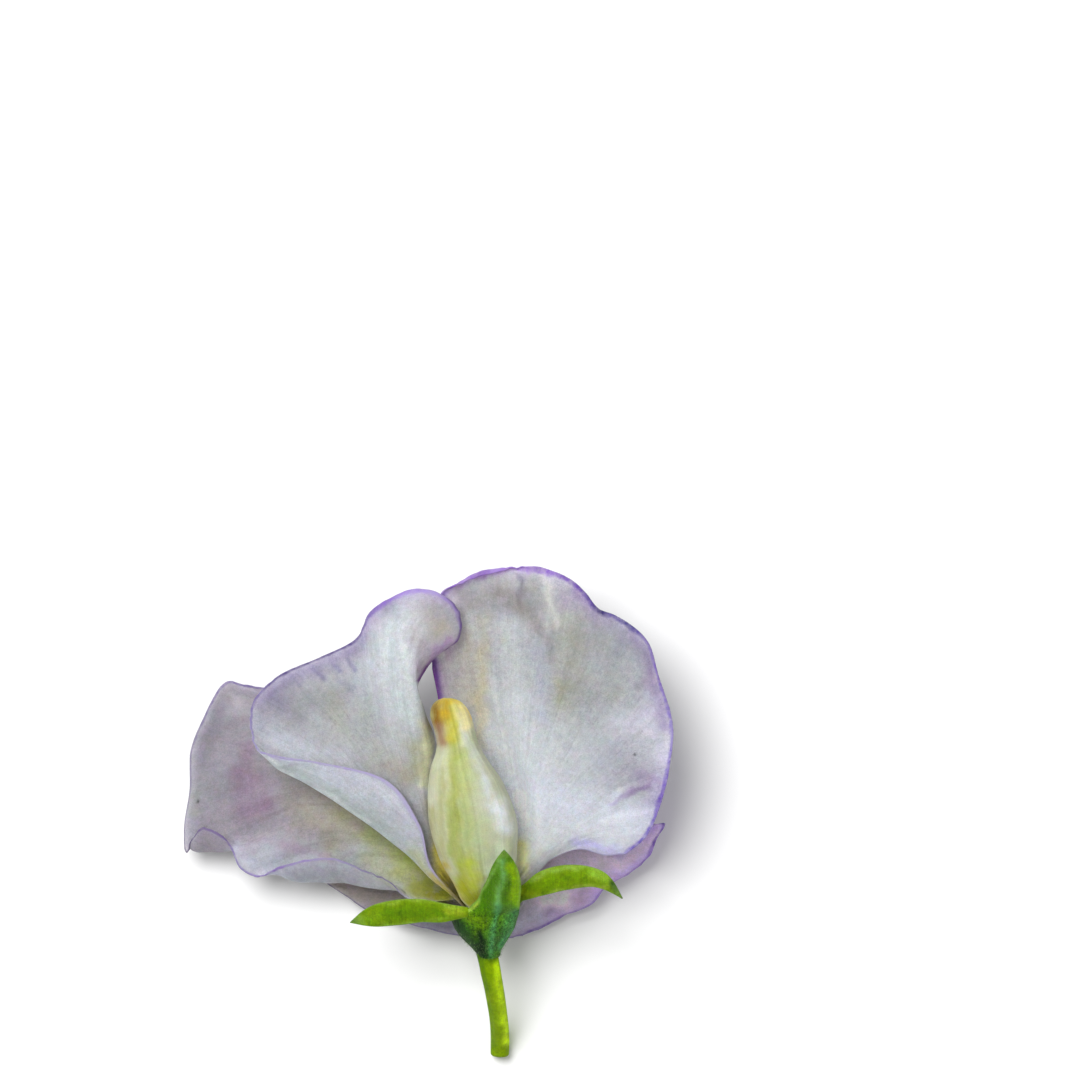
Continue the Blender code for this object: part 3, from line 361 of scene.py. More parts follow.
RIGHT_WING_RIM = (
    (0, 116, 66, 156, 0.5, 0.9), (0.9, 122, 72, 158, 0.46, 0.9), (1.5, 160, 132, 204, 0.7, 0.9),
    (2, 192, 164, 232, 0.85, 0.9), (2.5, 154, 108, 204, 0.6, 0.9), (3, 190, 158, 230, 0.8, 0.9),
    (3.5, 138, 90, 188, 0.6, 0.9), (4, 186, 154, 230, 0.8, 0.9), (4.5, 158, 112, 208, 0.6, 0.9),
    (5, 194, 160, 236, 0.7, 0.9), (5.5, 172, 132, 222, 0.55, 0.9), (6, 148, 112, 200, 0.45, 0.9),
    (6.6, 122, 88, 182, 0.44, 0.9), (7.2, 112, 88, 165, 0.5, 0.85), (7.6, 56, 48, 108, 0.5, 0.9),
    (7.9, 112, 94, 165, 0.36, 0.8), (8.3, 68, 60, 140, 0.42, 0.9), (9, 132, 112, 185, 0.36, 0.85),
    (10, 140, 116, 192, 0.36, 0.85), (11, 150, 136, 205, 0.32, 0.85),
    (12, 140, 120, 200, 0.36, 0.85), (12.7, 126, 98, 190, 0.44, 0.9),
    (13.3, 146, 126, 208, 0.36, 0.85), (14, 140, 120, 212, 0.42, 0.9),
    (14.6, 136, 112, 205, 0.4, 0.9), (15, 160, 145, 215, 0.3, 0.8),
)

# A glow row is (vein, red, green, blue, width in millimetres, strength), and a ground row is
# (vein, red, green, blue)
STANDARD_GLOW = (
    (0, 170, 162, 205, 0.7, 0.4), (8, 150, 138, 180, 0.8, 0.4), (12, 134, 126, 150, 0.8, 0.4),
    (16, 130, 122, 152, 0.7, 0.5), (18, 150, 138, 176, 1.0, 0.6), (20, 150, 138, 176, 1.0, 0.6),
    (26, 156, 128, 196, 1.4, 0.5), (31, 142, 102, 218, 1.8, 0.75), (35, 152, 118, 214, 1.6, 0.65),
    (46, 124, 112, 140, 0.8, 0.3),
)
LEFT_WING_GLOW = (
    (0, 150, 96, 164, 0.8, 0.5), (2.4, 158, 110, 172, 1.0, 0.6), (3.2, 190, 176, 206, 0.9, 0.5),
    (4.3, 188, 162, 232, 1.5, 0.85), (5.3, 186, 160, 230, 1.5, 0.85), (6, 150, 134, 190, 1.3, 0.8),
    (7, 146, 134, 182, 1.3, 0.75), (9.5, 140, 130, 172, 1.3, 0.75), (10.5, 160, 150, 190, 0.9, 0.6),
    (12, 192, 188, 224, 0.6, 0.45), (15, 192, 188, 224, 0.6, 0.45),
)
RIGHT_WING_GLOW = (
    (0, 150, 110, 168, 0.9, 0.6), (1.2, 176, 156, 200, 1.0, 0.6), (2, 196, 168, 228, 1.1, 0.7),
    (5, 196, 168, 228, 0.8, 0.6), (6.6, 160, 136, 190, 0.8, 0.6), (7.4, 140, 120, 168, 1.6, 0.8),
    (8.2, 150, 140, 182, 1.0, 0.7), (9.3, 150, 136, 184, 1.5, 0.8), (10.6, 150, 136, 180, 1.5, 0.8),
    (11.2, 190, 182, 222, 0.9, 0.6), (12, 170, 156, 212, 1.1, 0.7), (12.7, 146, 126, 190, 1.3, 0.8),
    (13.4, 184, 174, 222, 1.0, 0.6), (15, 196, 192, 224, 0.6, 0.4),
)
STANDARD_GROUND = (
    (0, 178, 184, 194), (6, 180, 184, 195), (8.5, 166, 160, 172), (20, 168, 163, 174),
    (24, 190, 176, 200), (29, 210, 184, 236), (36, 212, 188, 232), (41, 186, 180, 202),
    (44, 134, 124, 120), (46, 130, 120, 112),
)

# Strokes of paint along a line of x, y, x, y, ... in tenths of a millimetre in plan. A mark or
# spot is (width, strength, colour, *line). A tone is painted light or shade: (width, share of the
# light, *line), which darkens the paint below 1 and brightens it above. Marks stray from their
# lines by RAGGED times a field, spots by SPOT_RAGGED, and their strength wavers.
RAGGED = 0.30
SPOT_RAGGED = 0.05
RAGGED_SEEDS = (71, 72)
RAGGED_LENGTHS = (0.7, 3.5)
UNEVEN = 0.22
UNEVEN_SEED = 73
UNEVEN_LENGTHS = (0.5, 2.5)
STANDARD_MARKS = (
    (12, 0.6, (150, 152, 166), 205, 705, 192, 740, 189, 790, 186, 840),
    (16, 0.7, (190, 183, 194), 218, 692, 235, 700, 250, 708),
    (9, 0.5, (166, 158, 174), 235, 745, 252, 750), (8, 0.6, (146, 112, 146), 236, 775, 240, 790),
    (10, 0.5, (150, 126, 152), 258, 780, 262, 800),
    (7, 0.6, (146, 112, 146), 240, 815, 256, 808, 270, 806), (24, 0.5, (158, 136, 158), 248, 795),
    (7, 0.5, (172, 160, 162), 248, 770), (14, 0.5, (158, 158, 168), 215, 770, 212, 800),
    (6, 0.6, (160, 164, 158), 196, 790, 194, 812),
    (14, 0.6, (163, 157, 140), 310, 790, 330, 805, 350, 812),
    (14, 0.5, (166, 156, 150), 320, 825, 345, 835),
    (13, 0.6, (166, 165, 118), 340, 812, 365, 835, 390, 858),
    (12, 0.8, (158, 168, 106), 375, 832, 400, 858, 420, 880),
    (9, 0.8, (140, 150, 50), 405, 850, 430, 878, 448, 896),
    (9, 0.9, (112, 118, 20), 425, 886, 440, 895),
    (6, 0.85, (120, 120, 10), 418, 888, 434, 894, 456, 902),
    (9, 0.7, (146, 152, 70), 400, 876, 420, 890), (9, 0.6, (176, 180, 140), 365, 862, 395, 880),
    (5, 0.5, (172, 150, 172), 285, 845, 330, 855),
    (4, 0.5, (176, 160, 180), 232, 837, 262, 842, 300, 851),
    (11, 0.7, (188, 194, 210), 236, 855, 256, 866, 275, 858),
    (8, 0.7, (158, 160, 172), 290, 872, 330, 874, 365, 876),
    (5, 0.6, (178, 180, 190), 378, 886, 398, 892),
    (10, 0.6, (160, 156, 134), 300, 806, 318, 826, 336, 848),
    (6, 0.5, (156, 128, 156), 248, 748, 243, 772), (9, 0.6, (160, 156, 150), 268, 745, 300, 800),
    (9, 0.6, (160, 154, 146), 285, 800, 300, 830),
    (10, 0.7, (144, 136, 128), 340, 890, 370, 900, 400, 905),
    # Painted light: the right-lobe strokes with a channel past 255 brighten the lobe where the
    # right wing shades it.
    (10, 0.6, (118, 122, 140), 420, 915, 450, 928), (10, 0.95, (200, 164, 272), 636, 848, 656, 833),
    (10, 0.95, (204, 176, 272), 620, 865, 640, 852),
    (9, 0.9, (264, 230, 268), 556, 858, 578, 857, 604, 860), (6, 0.5, (180, 176, 172), 600, 868),
    (11, 0.95, (272, 224, 272), 545, 902, 566, 899), (8, 0.8, (166, 144, 176), 584, 888, 580, 902),
    (8, 0.85, (186, 150, 256), 600, 890), (12, 0.7, (194, 190, 220), 538, 916, 512, 926),
    (5, 0.7, (146, 122, 166), 548, 913),
)
STANDARD_SPOTS = ((1.5, 0.95, (36, 42, 36), 197, 803),)
# Painted light and shade: tones below 1 are painted shade along the left lobe, and tones above 1
# are painted light in its hollows and on the right lobe, where the right wing shades it.
STANDARD_PAINTED_SHADING = (
    (15, 0.87, 200, 735, 197, 800, 208, 842), (16, 0.9, 225, 795, 246, 768),
    (13, 0.88, 205, 800, 228, 802), (11, 0.94, 298, 824), (14, 0.89, 270, 820, 240, 825),
    (10, 1.1, 240, 703, 228, 715), (14, 1.11, 310, 802, 355, 835, 405, 866),
    (9, 1.24, 660, 836, 640, 850, 620, 866), (12, 1.18, 545, 902, 572, 898, 600, 888),
)
LEFT_WING_MARKS = (
    # Painted highlight: the bright band down the wing's neck, where it faces the light.
    (15, 0.8, (212, 223, 228), 398, 612, 390, 645, 394, 680, 404, 705),
    (12, 0.7, (212, 224, 226), 404, 705, 414, 716, 418, 700),
    (12, 0.5, (200, 210, 220), 362, 668, 372, 700), (18, 0.8, (194, 190, 192), 432, 612, 440, 630),
    (10, 0.7, (186, 178, 158), 440, 626), (7, 0.6, (184, 168, 184), 424, 646, 420, 664),
    (5, 0.6, (166, 120, 182), 452, 641, 434, 652, 424, 666),
    (13, 0.7, (150, 146, 172), 268, 690, 285, 703),
    (7, 0.7, (138, 134, 166), 256, 700, 280, 680, 310, 668, 355, 646),
    (5, 0.6, (164, 150, 200), 360, 638, 368, 620),
    (2.4, 0.7, (118, 116, 156), 306, 662, 316, 669, 326, 676),
    (2.4, 0.65, (126, 122, 164), 326, 654, 333, 662, 341, 670),
    (2.4, 0.6, (122, 120, 152), 290, 672, 300, 684),
    (2.6, 0.65, (130, 124, 168), 348, 643, 350, 656, 356, 668),
    (3.5, 0.6, (210, 208, 228), 314, 655, 330, 664),
    (3.5, 0.6, (206, 204, 226), 338, 650, 345, 660),
    (5, 0.5, (208, 214, 230), 360, 640, 370, 655, 374, 668),
    (5, 0.6, (164, 168, 186), 342, 681, 352, 688),
    # The grey stroke is painted shade under the fold's lip, and the next one is a painted highlight
    # down the bright neck beside it.
    (6, 0.7, (180, 174, 180), 418, 636, 422, 652, 423, 664),
    (5, 0.7, (222, 231, 234), 402, 630, 407, 655, 412, 680),
    (12, 0.6, (184, 193, 190), 300, 700, 320, 694), (13, 0.6, (178, 184, 168), 335, 700, 338, 722),
    (9, 0.5, (180, 192, 182), 370, 700, 368, 722), (12, 0.5, (176, 182, 186), 310, 718, 316, 730),
    (13, 0.5, (186, 192, 186), 348, 732, 370, 745),
    # Painted highlight: these two pale strokes light the wing's lower left, where it faces the
    # light.
    (12, 0.8, (206, 212, 226), 262, 722, 275, 736, 300, 746),
    (7, 0.7, (206, 213, 222), 300, 748, 345, 756), (10, 0.5, (198, 205, 200), 395, 730, 404, 742),
    (8, 0.5, (178, 182, 168), 378, 750, 372, 762), (11, 0.6, (174, 166, 142), 392, 765, 408, 775),
    (9, 0.7, (168, 168, 128), 418, 745, 420, 770),
    # Painted light: this pale stroke and the one past 255 below brighten the wing where the keel
    # and the fold shade it.
    (5, 0.85, (236, 236, 180), 425, 724, 427, 745, 428, 762, 424, 782),
    (4, 0.7, (190, 168, 70), 432, 716, 433, 726),
    (6, 0.8, (204, 198, 132), 431, 800, 433, 820, 437, 850),
    (5, 0.9, (262, 236, 70), 436, 850, 443, 870, 448, 882),
    (6, 0.9, (176, 154, 30), 448, 888, 456, 898),
)
LEFT_WING_FLAP_MARKS = (
    (12, 0.7, (184, 196, 196), 268, 762, 300, 778, 330, 790, 360, 812, 390, 835, 415, 858),
    # Painted highlight: the thin bright line along the flap's fold.
    (2.4, 0.7, (226, 238, 236), 262, 753, 298, 779, 330, 793, 366, 820, 400, 850),
    (10, 0.7, (208, 208, 230), 330, 770, 370, 785, 400, 800, 420, 840),
    (12, 0.6, (214, 216, 232), 375, 790, 395, 800), (9, 0.5, (188, 196, 202), 372, 800, 380, 815),
    (7, 0.9, (186, 193, 156), 415, 850, 426, 866, 434, 876),
    (5, 0.85, (206, 214, 158), 428, 818, 432, 832, 436, 848),
    (5, 0.9, (196, 172, 84), 434, 872, 442, 886, 448, 896),
)
LEFT_WING_SPOTS = (
    (1.7, 0.85, (112, 46, 144), 458, 646, 452, 650, 443, 655, 433, 659, 426, 666, 419, 679),
)
# Painted light and shade: tones below 1 are painted shade over broad lit places of the wing, and
# tones above 1 are painted light beside the keel, where it shades the wing.
LEFT_WING_PAINTED_SHADING = (
    (26, 0.82, 262, 712, 300, 698, 345, 694), (16, 0.87, 330, 665, 360, 645),
    (14, 0.9, 360, 705, 370, 730), (10, 0.76, 300, 712), (12, 0.78, 390, 606), (12, 0.9, 434, 608),
    (9, 1.12, 425, 780, 426, 800), (5, 1.15, 427, 745, 428, 764),
)
RIGHT_WING_MARKS = (
    (3.5, 0.9, (196, 166, 232), 442, 592, 456, 583, 472, 577, 490, 571, 515, 567, 540, 567),
    (2.5, 0.7, (150, 104, 192), 456, 586, 462, 583),
    (2.5, 0.7, (150, 104, 192), 478, 577, 486, 574),
    (2.5, 0.6, (156, 112, 200), 500, 569, 506, 568),
    (2.5, 0.6, (150, 104, 192), 522, 568, 530, 567),
    (18, 0.8, (186, 182, 174), 452, 606, 452, 650, 460, 700),
    (12, 0.6, (190, 187, 182), 470, 600, 500, 590), (7, 0.6, (196, 193, 166), 484, 618, 484, 650),
    (7, 0.75, (204, 196, 158), 483, 655, 481, 700), (7, 0.8, (224, 212, 168), 480, 705, 480, 738),
    (7, 0.6, (200, 188, 212), 450, 596, 456, 600), (7, 0.6, (196, 170, 206), 452, 636, 450, 652),
    (8, 0.5, (194, 186, 162), 468, 640, 472, 700), (6, 0.7, (182, 160, 184), 440, 668, 444, 690),
    # Painted light: these pale strokes down the wing beside the keel brighten it where the keel
    # shades it.
    (10, 0.8, (214, 222, 222), 510, 628, 517, 700),
    (12, 0.8, (216, 224, 232), 517, 700, 522, 760, 530, 830),
    (5, 0.7, (222, 228, 228), 492, 680, 503, 725, 512, 770),
    (7, 0.6, (214, 220, 220), 490, 730, 498, 750),
    (7, 0.7, (188, 193, 212), 541, 650, 543, 690, 544, 720),
    (20, 0.8, (176, 180, 166), 566, 606, 572, 650, 570, 700), (4, 0.5, (196, 196, 170), 505, 640),
    (5, 0.6, (186, 186, 150), 556, 680, 562, 700), (12, 0.5, (186, 190, 180), 600, 630, 615, 690),
    (16, 0.6, (178, 184, 186), 590, 700, 588, 730), (7, 0.5, (186, 184, 164), 562, 690),
    # Painted highlight along the ridge fold, and below it painted shade in the groove beside it.
    (5, 0.8, (230, 232, 222), 541, 574, 549, 600, 557, 624),
    (2.6, 0.8, (132, 130, 146), 519, 576, 520, 592), (3, 0.6, (146, 142, 152), 524, 588, 521, 603),
    (8, 0.6, (168, 160, 148), 512, 600, 530, 615, 538, 625), (10, 0.5, (182, 172, 168), 505, 590),
    (8, 0.6, (188, 186, 174), 532, 586), (5, 0.6, (156, 156, 160), 538, 628, 549, 645, 550, 658),
    (12, 0.7, (172, 164, 190), 566, 600, 592, 606), (5, 0.7, (146, 124, 176), 575, 592, 590, 602),
    (8, 0.6, (166, 160, 182), 605, 612, 620, 622),
    (7, 0.7, (154, 138, 184), 632, 630, 650, 655, 656, 690, 668, 725),
    (6, 0.6, (160, 130, 172), 652, 668, 655, 680), (16, 0.5, (180, 186, 196), 618, 640, 610, 660),
    (5, 0.6, (152, 152, 160), 640, 684, 646, 680),
    (14, 0.8, (218, 218, 236), 650, 702, 640, 722, 622, 726),
    (16, 0.7, (182, 184, 196), 612, 752, 645, 756), (10, 0.6, (178, 176, 192), 612, 775, 645, 768),
    (3, 0.85, (132, 108, 156), 611, 801, 620, 796, 630, 789, 648, 784),
    # The light spot at (620, 788) is a painted highlight on the crumple's ridge.
    (7, 0.6, (164, 146, 184), 640, 775, 658, 782), (4, 0.7, (206, 208, 204), 620, 788),
    (12, 0.5, (186, 192, 202), 598, 755, 605, 775),
    (22, 0.75, (222, 229, 252), 530, 790, 590, 812, 640, 820), (8, 0.5, (188, 192, 212), 620, 640),
    (7, 0.6, (210, 208, 232), 655, 745, 664, 760), (8, 0.6, (224, 224, 240), 652, 728),
    (6, 0.85, (176, 172, 240), 575, 841, 600, 848, 622, 853),
    (6, 0.7, (184, 188, 190), 538, 858, 556, 848),
    # Painted light: the stroke past 255 brightens the wing in the keel's shade at its foot.
    (5, 0.95, (270, 272, 150), 515, 850, 517, 868, 518, 884),
    (6, 0.95, (228, 236, 130), 522, 842, 525, 860, 528, 884),
    (5, 0.9, (180, 186, 84), 524, 880, 534, 892), (6, 0.6, (194, 198, 178), 536, 866, 540, 850),
)
RIGHT_WING_SPOTS = (
    (2.4, 0.95, (50, 44, 110), 588, 595, 592, 600, 594, 605),
    (2.2, 0.9, (70, 60, 150), 603, 609, 610, 612, 616, 614), (1.3, 0.95, (44, 44, 56), 634, 753),
    (4, 0.8, (132, 78, 176), 434, 660, 437, 680, 440, 700),
)
# Painted light and shade: tones below 1 are painted shade over the wing's top and right, where the
# lamp lights it more, and tones above 1 are painted light, mostly along the keel, where it shades
# the wing.
RIGHT_WING_PAINTED_SHADING = (
    (45, 0.88, 484, 655, 545, 660, 640, 690), (24, 0.74, 466, 600, 500, 598, 530, 603),
    (16, 0.92, 560, 590), (22, 0.86, 480, 640, 530, 640, 585, 632), (26, 0.78, 600, 640, 645, 655),
    (22, 0.84, 570, 685, 640, 690), (9, 0.93, 655, 766), (10, 0.68, 500, 600), (8, 1.04, 452, 602),
    (14, 0.94, 620, 732, 650, 724), (17, 0.88, 628, 765, 645, 792),
    (18, 1.17, 484, 728, 497, 760, 518, 800, 532, 835), (8, 1.32, 487, 738, 492, 750),
    (7, 1.36, 520, 796, 526, 825, 522, 850, 518, 880), (26, 1.17, 545, 832, 600, 826),
    (18, 1.05, 540, 745, 560, 800), (16, 1.05, 590, 800),
)
KEEL_MARKS = (
    (6, 0.8, (172, 182, 86), 455, 735, 457, 780, 458, 830, 462, 880),
    (4, 0.6, (164, 176, 92), 452, 790, 454, 850),
    (4, 0.6, (190, 202, 124), 464, 750, 466, 800, 470, 850),
    (6, 0.8, (200, 196, 70), 452, 700, 455, 735),
    (7, 0.6, (196, 208, 140), 468, 740, 470, 800, 476, 860),
    # Painted light: the near-white strokes down the keel's right side, some past 255, brighten it
    # where it lies in shade beside the wing.
    (5, 0.8, (232, 238, 222), 462, 715, 470, 745, 482, 770, 498, 800),
    (7, 0.7, (232, 242, 240), 486, 780, 492, 805), (9, 0.9, (266, 272, 272), 498, 805, 506, 825),
    (8, 0.8, (250, 268, 228), 503, 845, 500, 860, 490, 872),
    (6, 0.6, (204, 220, 172), 480, 820, 484, 850),
    (4.5, 0.85, (250, 212, 70), 442, 700, 455, 698, 466, 706),
    # The stroke past 255 at (464, 706) is painted light that brightens the keel's tip where it lies
    # in shade.
    (3, 0.8, (250, 204, 100), 467, 705, 472, 716), (5, 0.85, (272, 254, 178), 464, 706, 467, 724),
    (6, 0.9, (136, 92, 0), 437, 706, 440, 718), (5, 0.8, (206, 200, 80), 451, 716, 453, 734),
    (4, 0.6, (190, 156, 30), 447, 702, 447, 716), (4, 0.7, (236, 230, 150), 456, 704, 459, 716),
    (4, 0.6, (214, 176, 30), 446, 712), (6, 0.85, (152, 110, 80), 441, 725, 444, 739),
    (4, 0.7, (214, 218, 190), 436, 756, 434, 795),
    (6, 0.85, (176, 172, 128), 431, 808, 432, 830, 438, 852),
    (4, 0.5, (176, 174, 110), 443, 770, 442, 830, 448, 880),
    (4, 0.6, (196, 196, 160), 432, 740, 430, 780), (3, 0.6, (196, 202, 140), 450, 780, 449, 820),
    (4, 0.6, (172, 184, 104), 452, 800, 453, 850), (4, 0.6, (184, 200, 140), 463, 800, 468, 840),
    (8, 0.75, (196, 212, 46), 470, 862, 476, 888), (8, 0.9, (176, 180, 16), 462, 884, 472, 898),
    (3, 0.8, (186, 160, 60), 446, 862, 452, 886, 462, 900),
)

# The calyx is dark outside and lime inside
CALYX_MARKS = (
    (7, 0.9, (82, 138, 0), 498, 864, 489, 890, 477, 912),
    (6, 0.95, (150, 198, 0), 511, 862, 516, 880, 516, 900),
    (2.5, 0.85, (160, 204, 50), 519, 866, 521, 880, 521, 900),
    (2, 0.8, (132, 184, 84), 500, 856, 490, 876, 481, 894, 468, 910),
    (5, 0.7, (110, 172, 44), 509, 905, 505, 922),
    (8, 0.85, (18, 58, 10), 456, 922, 466, 936, 480, 952),
    (7, 0.8, (110, 148, 0), 470, 916, 484, 920, 478, 932),
    (4, 0.6, (50, 92, 20), 494, 944, 504, 930),
    (5, 0.8, (86, 176, 108), 516, 906, 510, 926, 502, 946),
    (3, 0.6, (84, 132, 20), 480, 957, 496, 955),
    (4, 0.75, (138, 204, 122), 504, 856, 503, 872, 500, 890, 496, 904),
    (4, 0.7, (96, 180, 116), 497, 904, 494, 922, 491, 952),
    (4, 0.85, (8, 38, 8), 480, 932, 485, 954),
    (2.6, 0.9, (172, 206, 60), 458, 912, 468, 909, 476, 899),
)
TOOTH_MARKS = (
    (5, 0.9, (102, 146, 0), 388, 913, 420, 909, 444, 910),
    (2.5, 0.8, (156, 192, 64), 385, 903, 400, 899, 420, 897, 441, 900, 462, 906),
    (2, 0.7, (142, 180, 50), 385, 922, 420, 919, 450, 916),
    (4, 0.8, (166, 188, 44), 450, 909, 464, 909), (5, 0.8, (130, 170, 18), 362, 920, 378, 917),
    (4, 0.9, (52, 88, 24), 350, 922, 357, 921),
    (6, 0.9, (126, 168, 0), 532, 884, 560, 876, 592, 873),
    (2.5, 0.8, (160, 200, 84), 530, 878, 548, 869, 568, 864, 590, 865, 606, 871),
    (2.4, 0.8, (170, 196, 72), 535, 897, 560, 889, 590, 884, 608, 886),
    (4.5, 0.8, (170, 218, 76), 592, 872, 606, 877), (5, 0.7, (166, 196, 20), 524, 890, 535, 893),
    (4, 0.9, (66, 100, 36), 614, 884, 624, 899),
)
STALK_MARKS = (
    # Painted shade and highlight: the first two strokes darken the stalk's left side, and the
    # bright one past 255 lights its right side.
    (4.5, 0.8, (92, 130, 0), 480, 962, 486, 990), (4.5, 0.8, (112, 150, 0), 488, 1005, 492, 1050),
    (4.5, 0.85, (222, 264, 20), 496, 965, 502, 1000, 506, 1045),
    (5, 0.8, (60, 98, 10), 476, 956, 498, 953), (5, 0.6, (120, 150, 20), 498, 1056),
)

# Noises of every skin: (scale over a metre, detail, roughness, and the output where it isn't "Fac")
GRAIN = (5600.0, 2.0, 0.8)
CRINKLE = (1250.0, 5.0, 0.75)
MOTTLE = (700.0, 6.0, 0.72, "Color")
PATCH = (420.0, 5.0, 0.65)

# Depth of the bumps, in metres
SKIN_RELIEF = 0.0002
INNER_RELIEF = 0.0001

# Where the stamens and the pistil turn to the colour of their tips, in metres up the bloom
TIP_STARTS = (0.0058, 0.0068)


# Curves and sheets, as in the solids


def through(knots, values, at):
    """Smooth curve through values at knots, read at the places given.

    It is made of cubic pieces that share their slopes.
    """
    knots, values, at = (np.asarray(given, float) for given in (knots, values, at))
    step = np.diff(knots)
    rise = np.diff(values, axis=0) / step[:, None]
    slope = np.empty_like(values)
    weight = (step[1:] / (step[1:] + step[:-1]))[:, None]
    slope[1:-1] = weight * rise[:-1] + (1 - weight) * rise[1:]
    slope[0] = 1.5 * rise[0] - 0.5 * slope[1]
    slope[-1] = 1.5 * rise[-1] - 0.5 * slope[-2]
    piece = np.clip(np.searchsorted(knots, at, side="right") - 1, 0, len(step) - 1)
    width = step[piece][:, None]
    t = ((at - knots[piece]) / step[piece])[:, None]
    return (
        (2 * t**3 - 3 * t**2 + 1) * values[piece]
        + (t**3 - 2 * t**2 + t) * width * slope[piece]
        + (3 * t**2 - 2 * t**3) * values[piece + 1]
        + (t**3 - t**2) * width * slope[piece + 1]
    )


def evenly(points, count):
    """Count points along a smooth curve through the points given, about evenly spaced."""
    points = np.asarray(points, float)
    steps = np.linalg.norm(np.diff(points[:, :3], axis=0), axis=1) ** POINT_SPACING
    knots = np.concatenate([[0], np.cumsum(steps)])
    return through(knots, points, np.linspace(0, knots[-1], count))


def drawn(rows, count, first=0):
    """Count rows of points on the smooth sheet through the rows given, from the first one on."""
    apart = np.linalg.norm(np.diff(rows, axis=0), axis=2).mean(axis=1) ** ROW_SPACING
    knots = np.concatenate([[0], np.cumsum(apart)])
    along = np.linspace(knots[first], knots[-1], count)
    return np.stack([through(knots, rows[:, c], along) for c in range(rows.shape[1])], axis=1)


def sheet(claw, rings, veins, rows, columns):
    """Grid of points for a petal.

    Rows run from the claw to the edge, and columns from margin to margin.
    """
    at = np.linspace(0, veins, columns + 1)
    outs = (-CLAW_DEPTH, CLAW_REACH)
    crossing = [np.array([claw(vein / veins, out) for vein in at]) for out in outs]
    for ring in rings:
        ring = np.array(ring)
        placed = np.array([plan(*point) for point in ring[:, 1:]])
        crossing.append(through(ring[:, 0], placed, at))
    return drawn(np.array(crossing), rows + 1)


def unit(vectors):
    return vectors / np.maximum(np.linalg.norm(vectors, axis=-1, keepdims=True), 1e-9)


def sheet_normals(grid, passes):
    """Unit normal of a grid at each of its points, evened out so that tight folds don't cross."""
    normal = unit(np.cross(np.gradient(grid, axis=0), np.gradient(grid, axis=1)))
    for _ in range(passes):
        padded = np.pad(normal, ((1, 1), (1, 1), (0, 0)), mode="edge")
        around = padded[2:, 1:-1] + padded[:-2, 1:-1] + padded[1:-1, 2:] + padded[1:-1, :-2]
        normal = unit(around + 2 * normal)
    return normal


# Fine shape


def ramp(values, low, high):
    """0 below low, 1 above high, and a soft step in between."""
    t = np.clip((values - low) / (high - low), 0, 1)
    return t * t * (3 - 2 * t)


def hump(values, width):
    """1 at 0, falling off softly to both sides."""
    return np.exp(-((values / width) ** 2))


def closeness(points, line, width):
    """1 on a line of x, y, x, y, ... in plan, fading out over the width given.

    Both are in tenths of a millimetre.
    """
    at = np.stack([points[..., 0] + DATUM_RIGHT, DATUM_DOWN - points[..., 1]], axis=-1) * 10
    line = np.array(line, float).reshape(-1, 2)
    if len(line) == 1:
        line = np.repeat(line, 2, axis=0)
    nearest = np.full(at.shape[:-1], np.inf)
    for one, two in zip(line, line[1:]):
        run = two - one
        share = np.clip(((at - one) @ run) / max(run @ run, 1e-9), 0, 1)
        nearest = np.minimum(nearest, ((at - one - share[..., None] * run) ** 2).sum(axis=-1))
    return np.exp(-nearest / width**2)


def swell(points, seed, shortest, longest):
    """Gentle uneven field through space, between about -1 and 1."""
    dice = np.random.default_rng(seed)
    total = np.zeros(points.shape[:-1])
    for _ in range(SWELLS):
        way = unit(dice.normal(size=3))
        length = shortest * (longest / shortest) ** dice.random()
        along = points @ way * (2 * math.pi / length)
        total += np.sin(along + dice.random() * PHASES) * length / longest
    return total / SWELLS**0.5


def pleats(share, seed, fewest, most):
    """Uneven waves across a petal, from margin to margin."""
    dice = np.random.default_rng(seed)
    total = np.zeros_like(share)
    for _ in range(PLEATS):
        turns = fewest * (most / fewest) ** dice.random()
        total += np.sin(share * (2 * math.pi * turns) + dice.random() * PHASES) * fewest / turns
    return total / PLEATS**0.5


def small_waves(grid, across, reach, edge, seed, lengths, height, folds, start, ruffles, fine):
    """Swells away from the margin, folds along the veins from start on, and a ruffled margin."""
    swelled = swell(grid, seed, *lengths) * height * ramp(edge, 0, SWELLS_FULL)
    folded = pleats(across, seed + 1, *folds) * FOLD_HEIGHT * ramp(reach, start, FOLDS_FULL)
    ruffled = pleats(across, seed + 2, *ruffles) * fine * np.exp(-edge / RUFFLE_WIDTH)
    return swelled + folded + ruffled


def to_margin(grid):
    """Way from each point of a petal to its nearest margin, and which: 0 tip, 1 first, 2 last."""
    along = np.linalg.norm(np.diff(grid, axis=0), axis=2)
    across = np.linalg.norm(np.diff(grid, axis=1), axis=2)
    tip, first, last = np.zeros((3, *grid.shape[:2]))
    tip[:-1] = np.cumsum(along[::-1], axis=0)[::-1]
    first[:, 1:] = np.cumsum(across, axis=1)
    last[:, :-1] = np.cumsum(across[:, ::-1], axis=1)[:, ::-1]
    ways = np.stack([tip, first, last])
    return ways.min(axis=0), ways.argmin(axis=0)


# Colour


def light(colour):
    """Linear colour for one given from 0 to 255."""
    colour = np.asarray(colour, float) / 255
    return np.where(colour < 0.04045, colour / 12.92, ((colour + 0.055) / 1.055) ** 2.4)


def table(rows, at):
    """Columns of a table read at the places given, which its first column holds."""
    rows = np.array(rows, float)
    return np.stack([np.interp(at, rows[:, 0], column) for column in rows.T[1:]], axis=-1)


def plain(colour, like):
    """One colour at each of the values given."""
    return np.broadcast_to(np.array(colour, float), (*like.shape, 3))


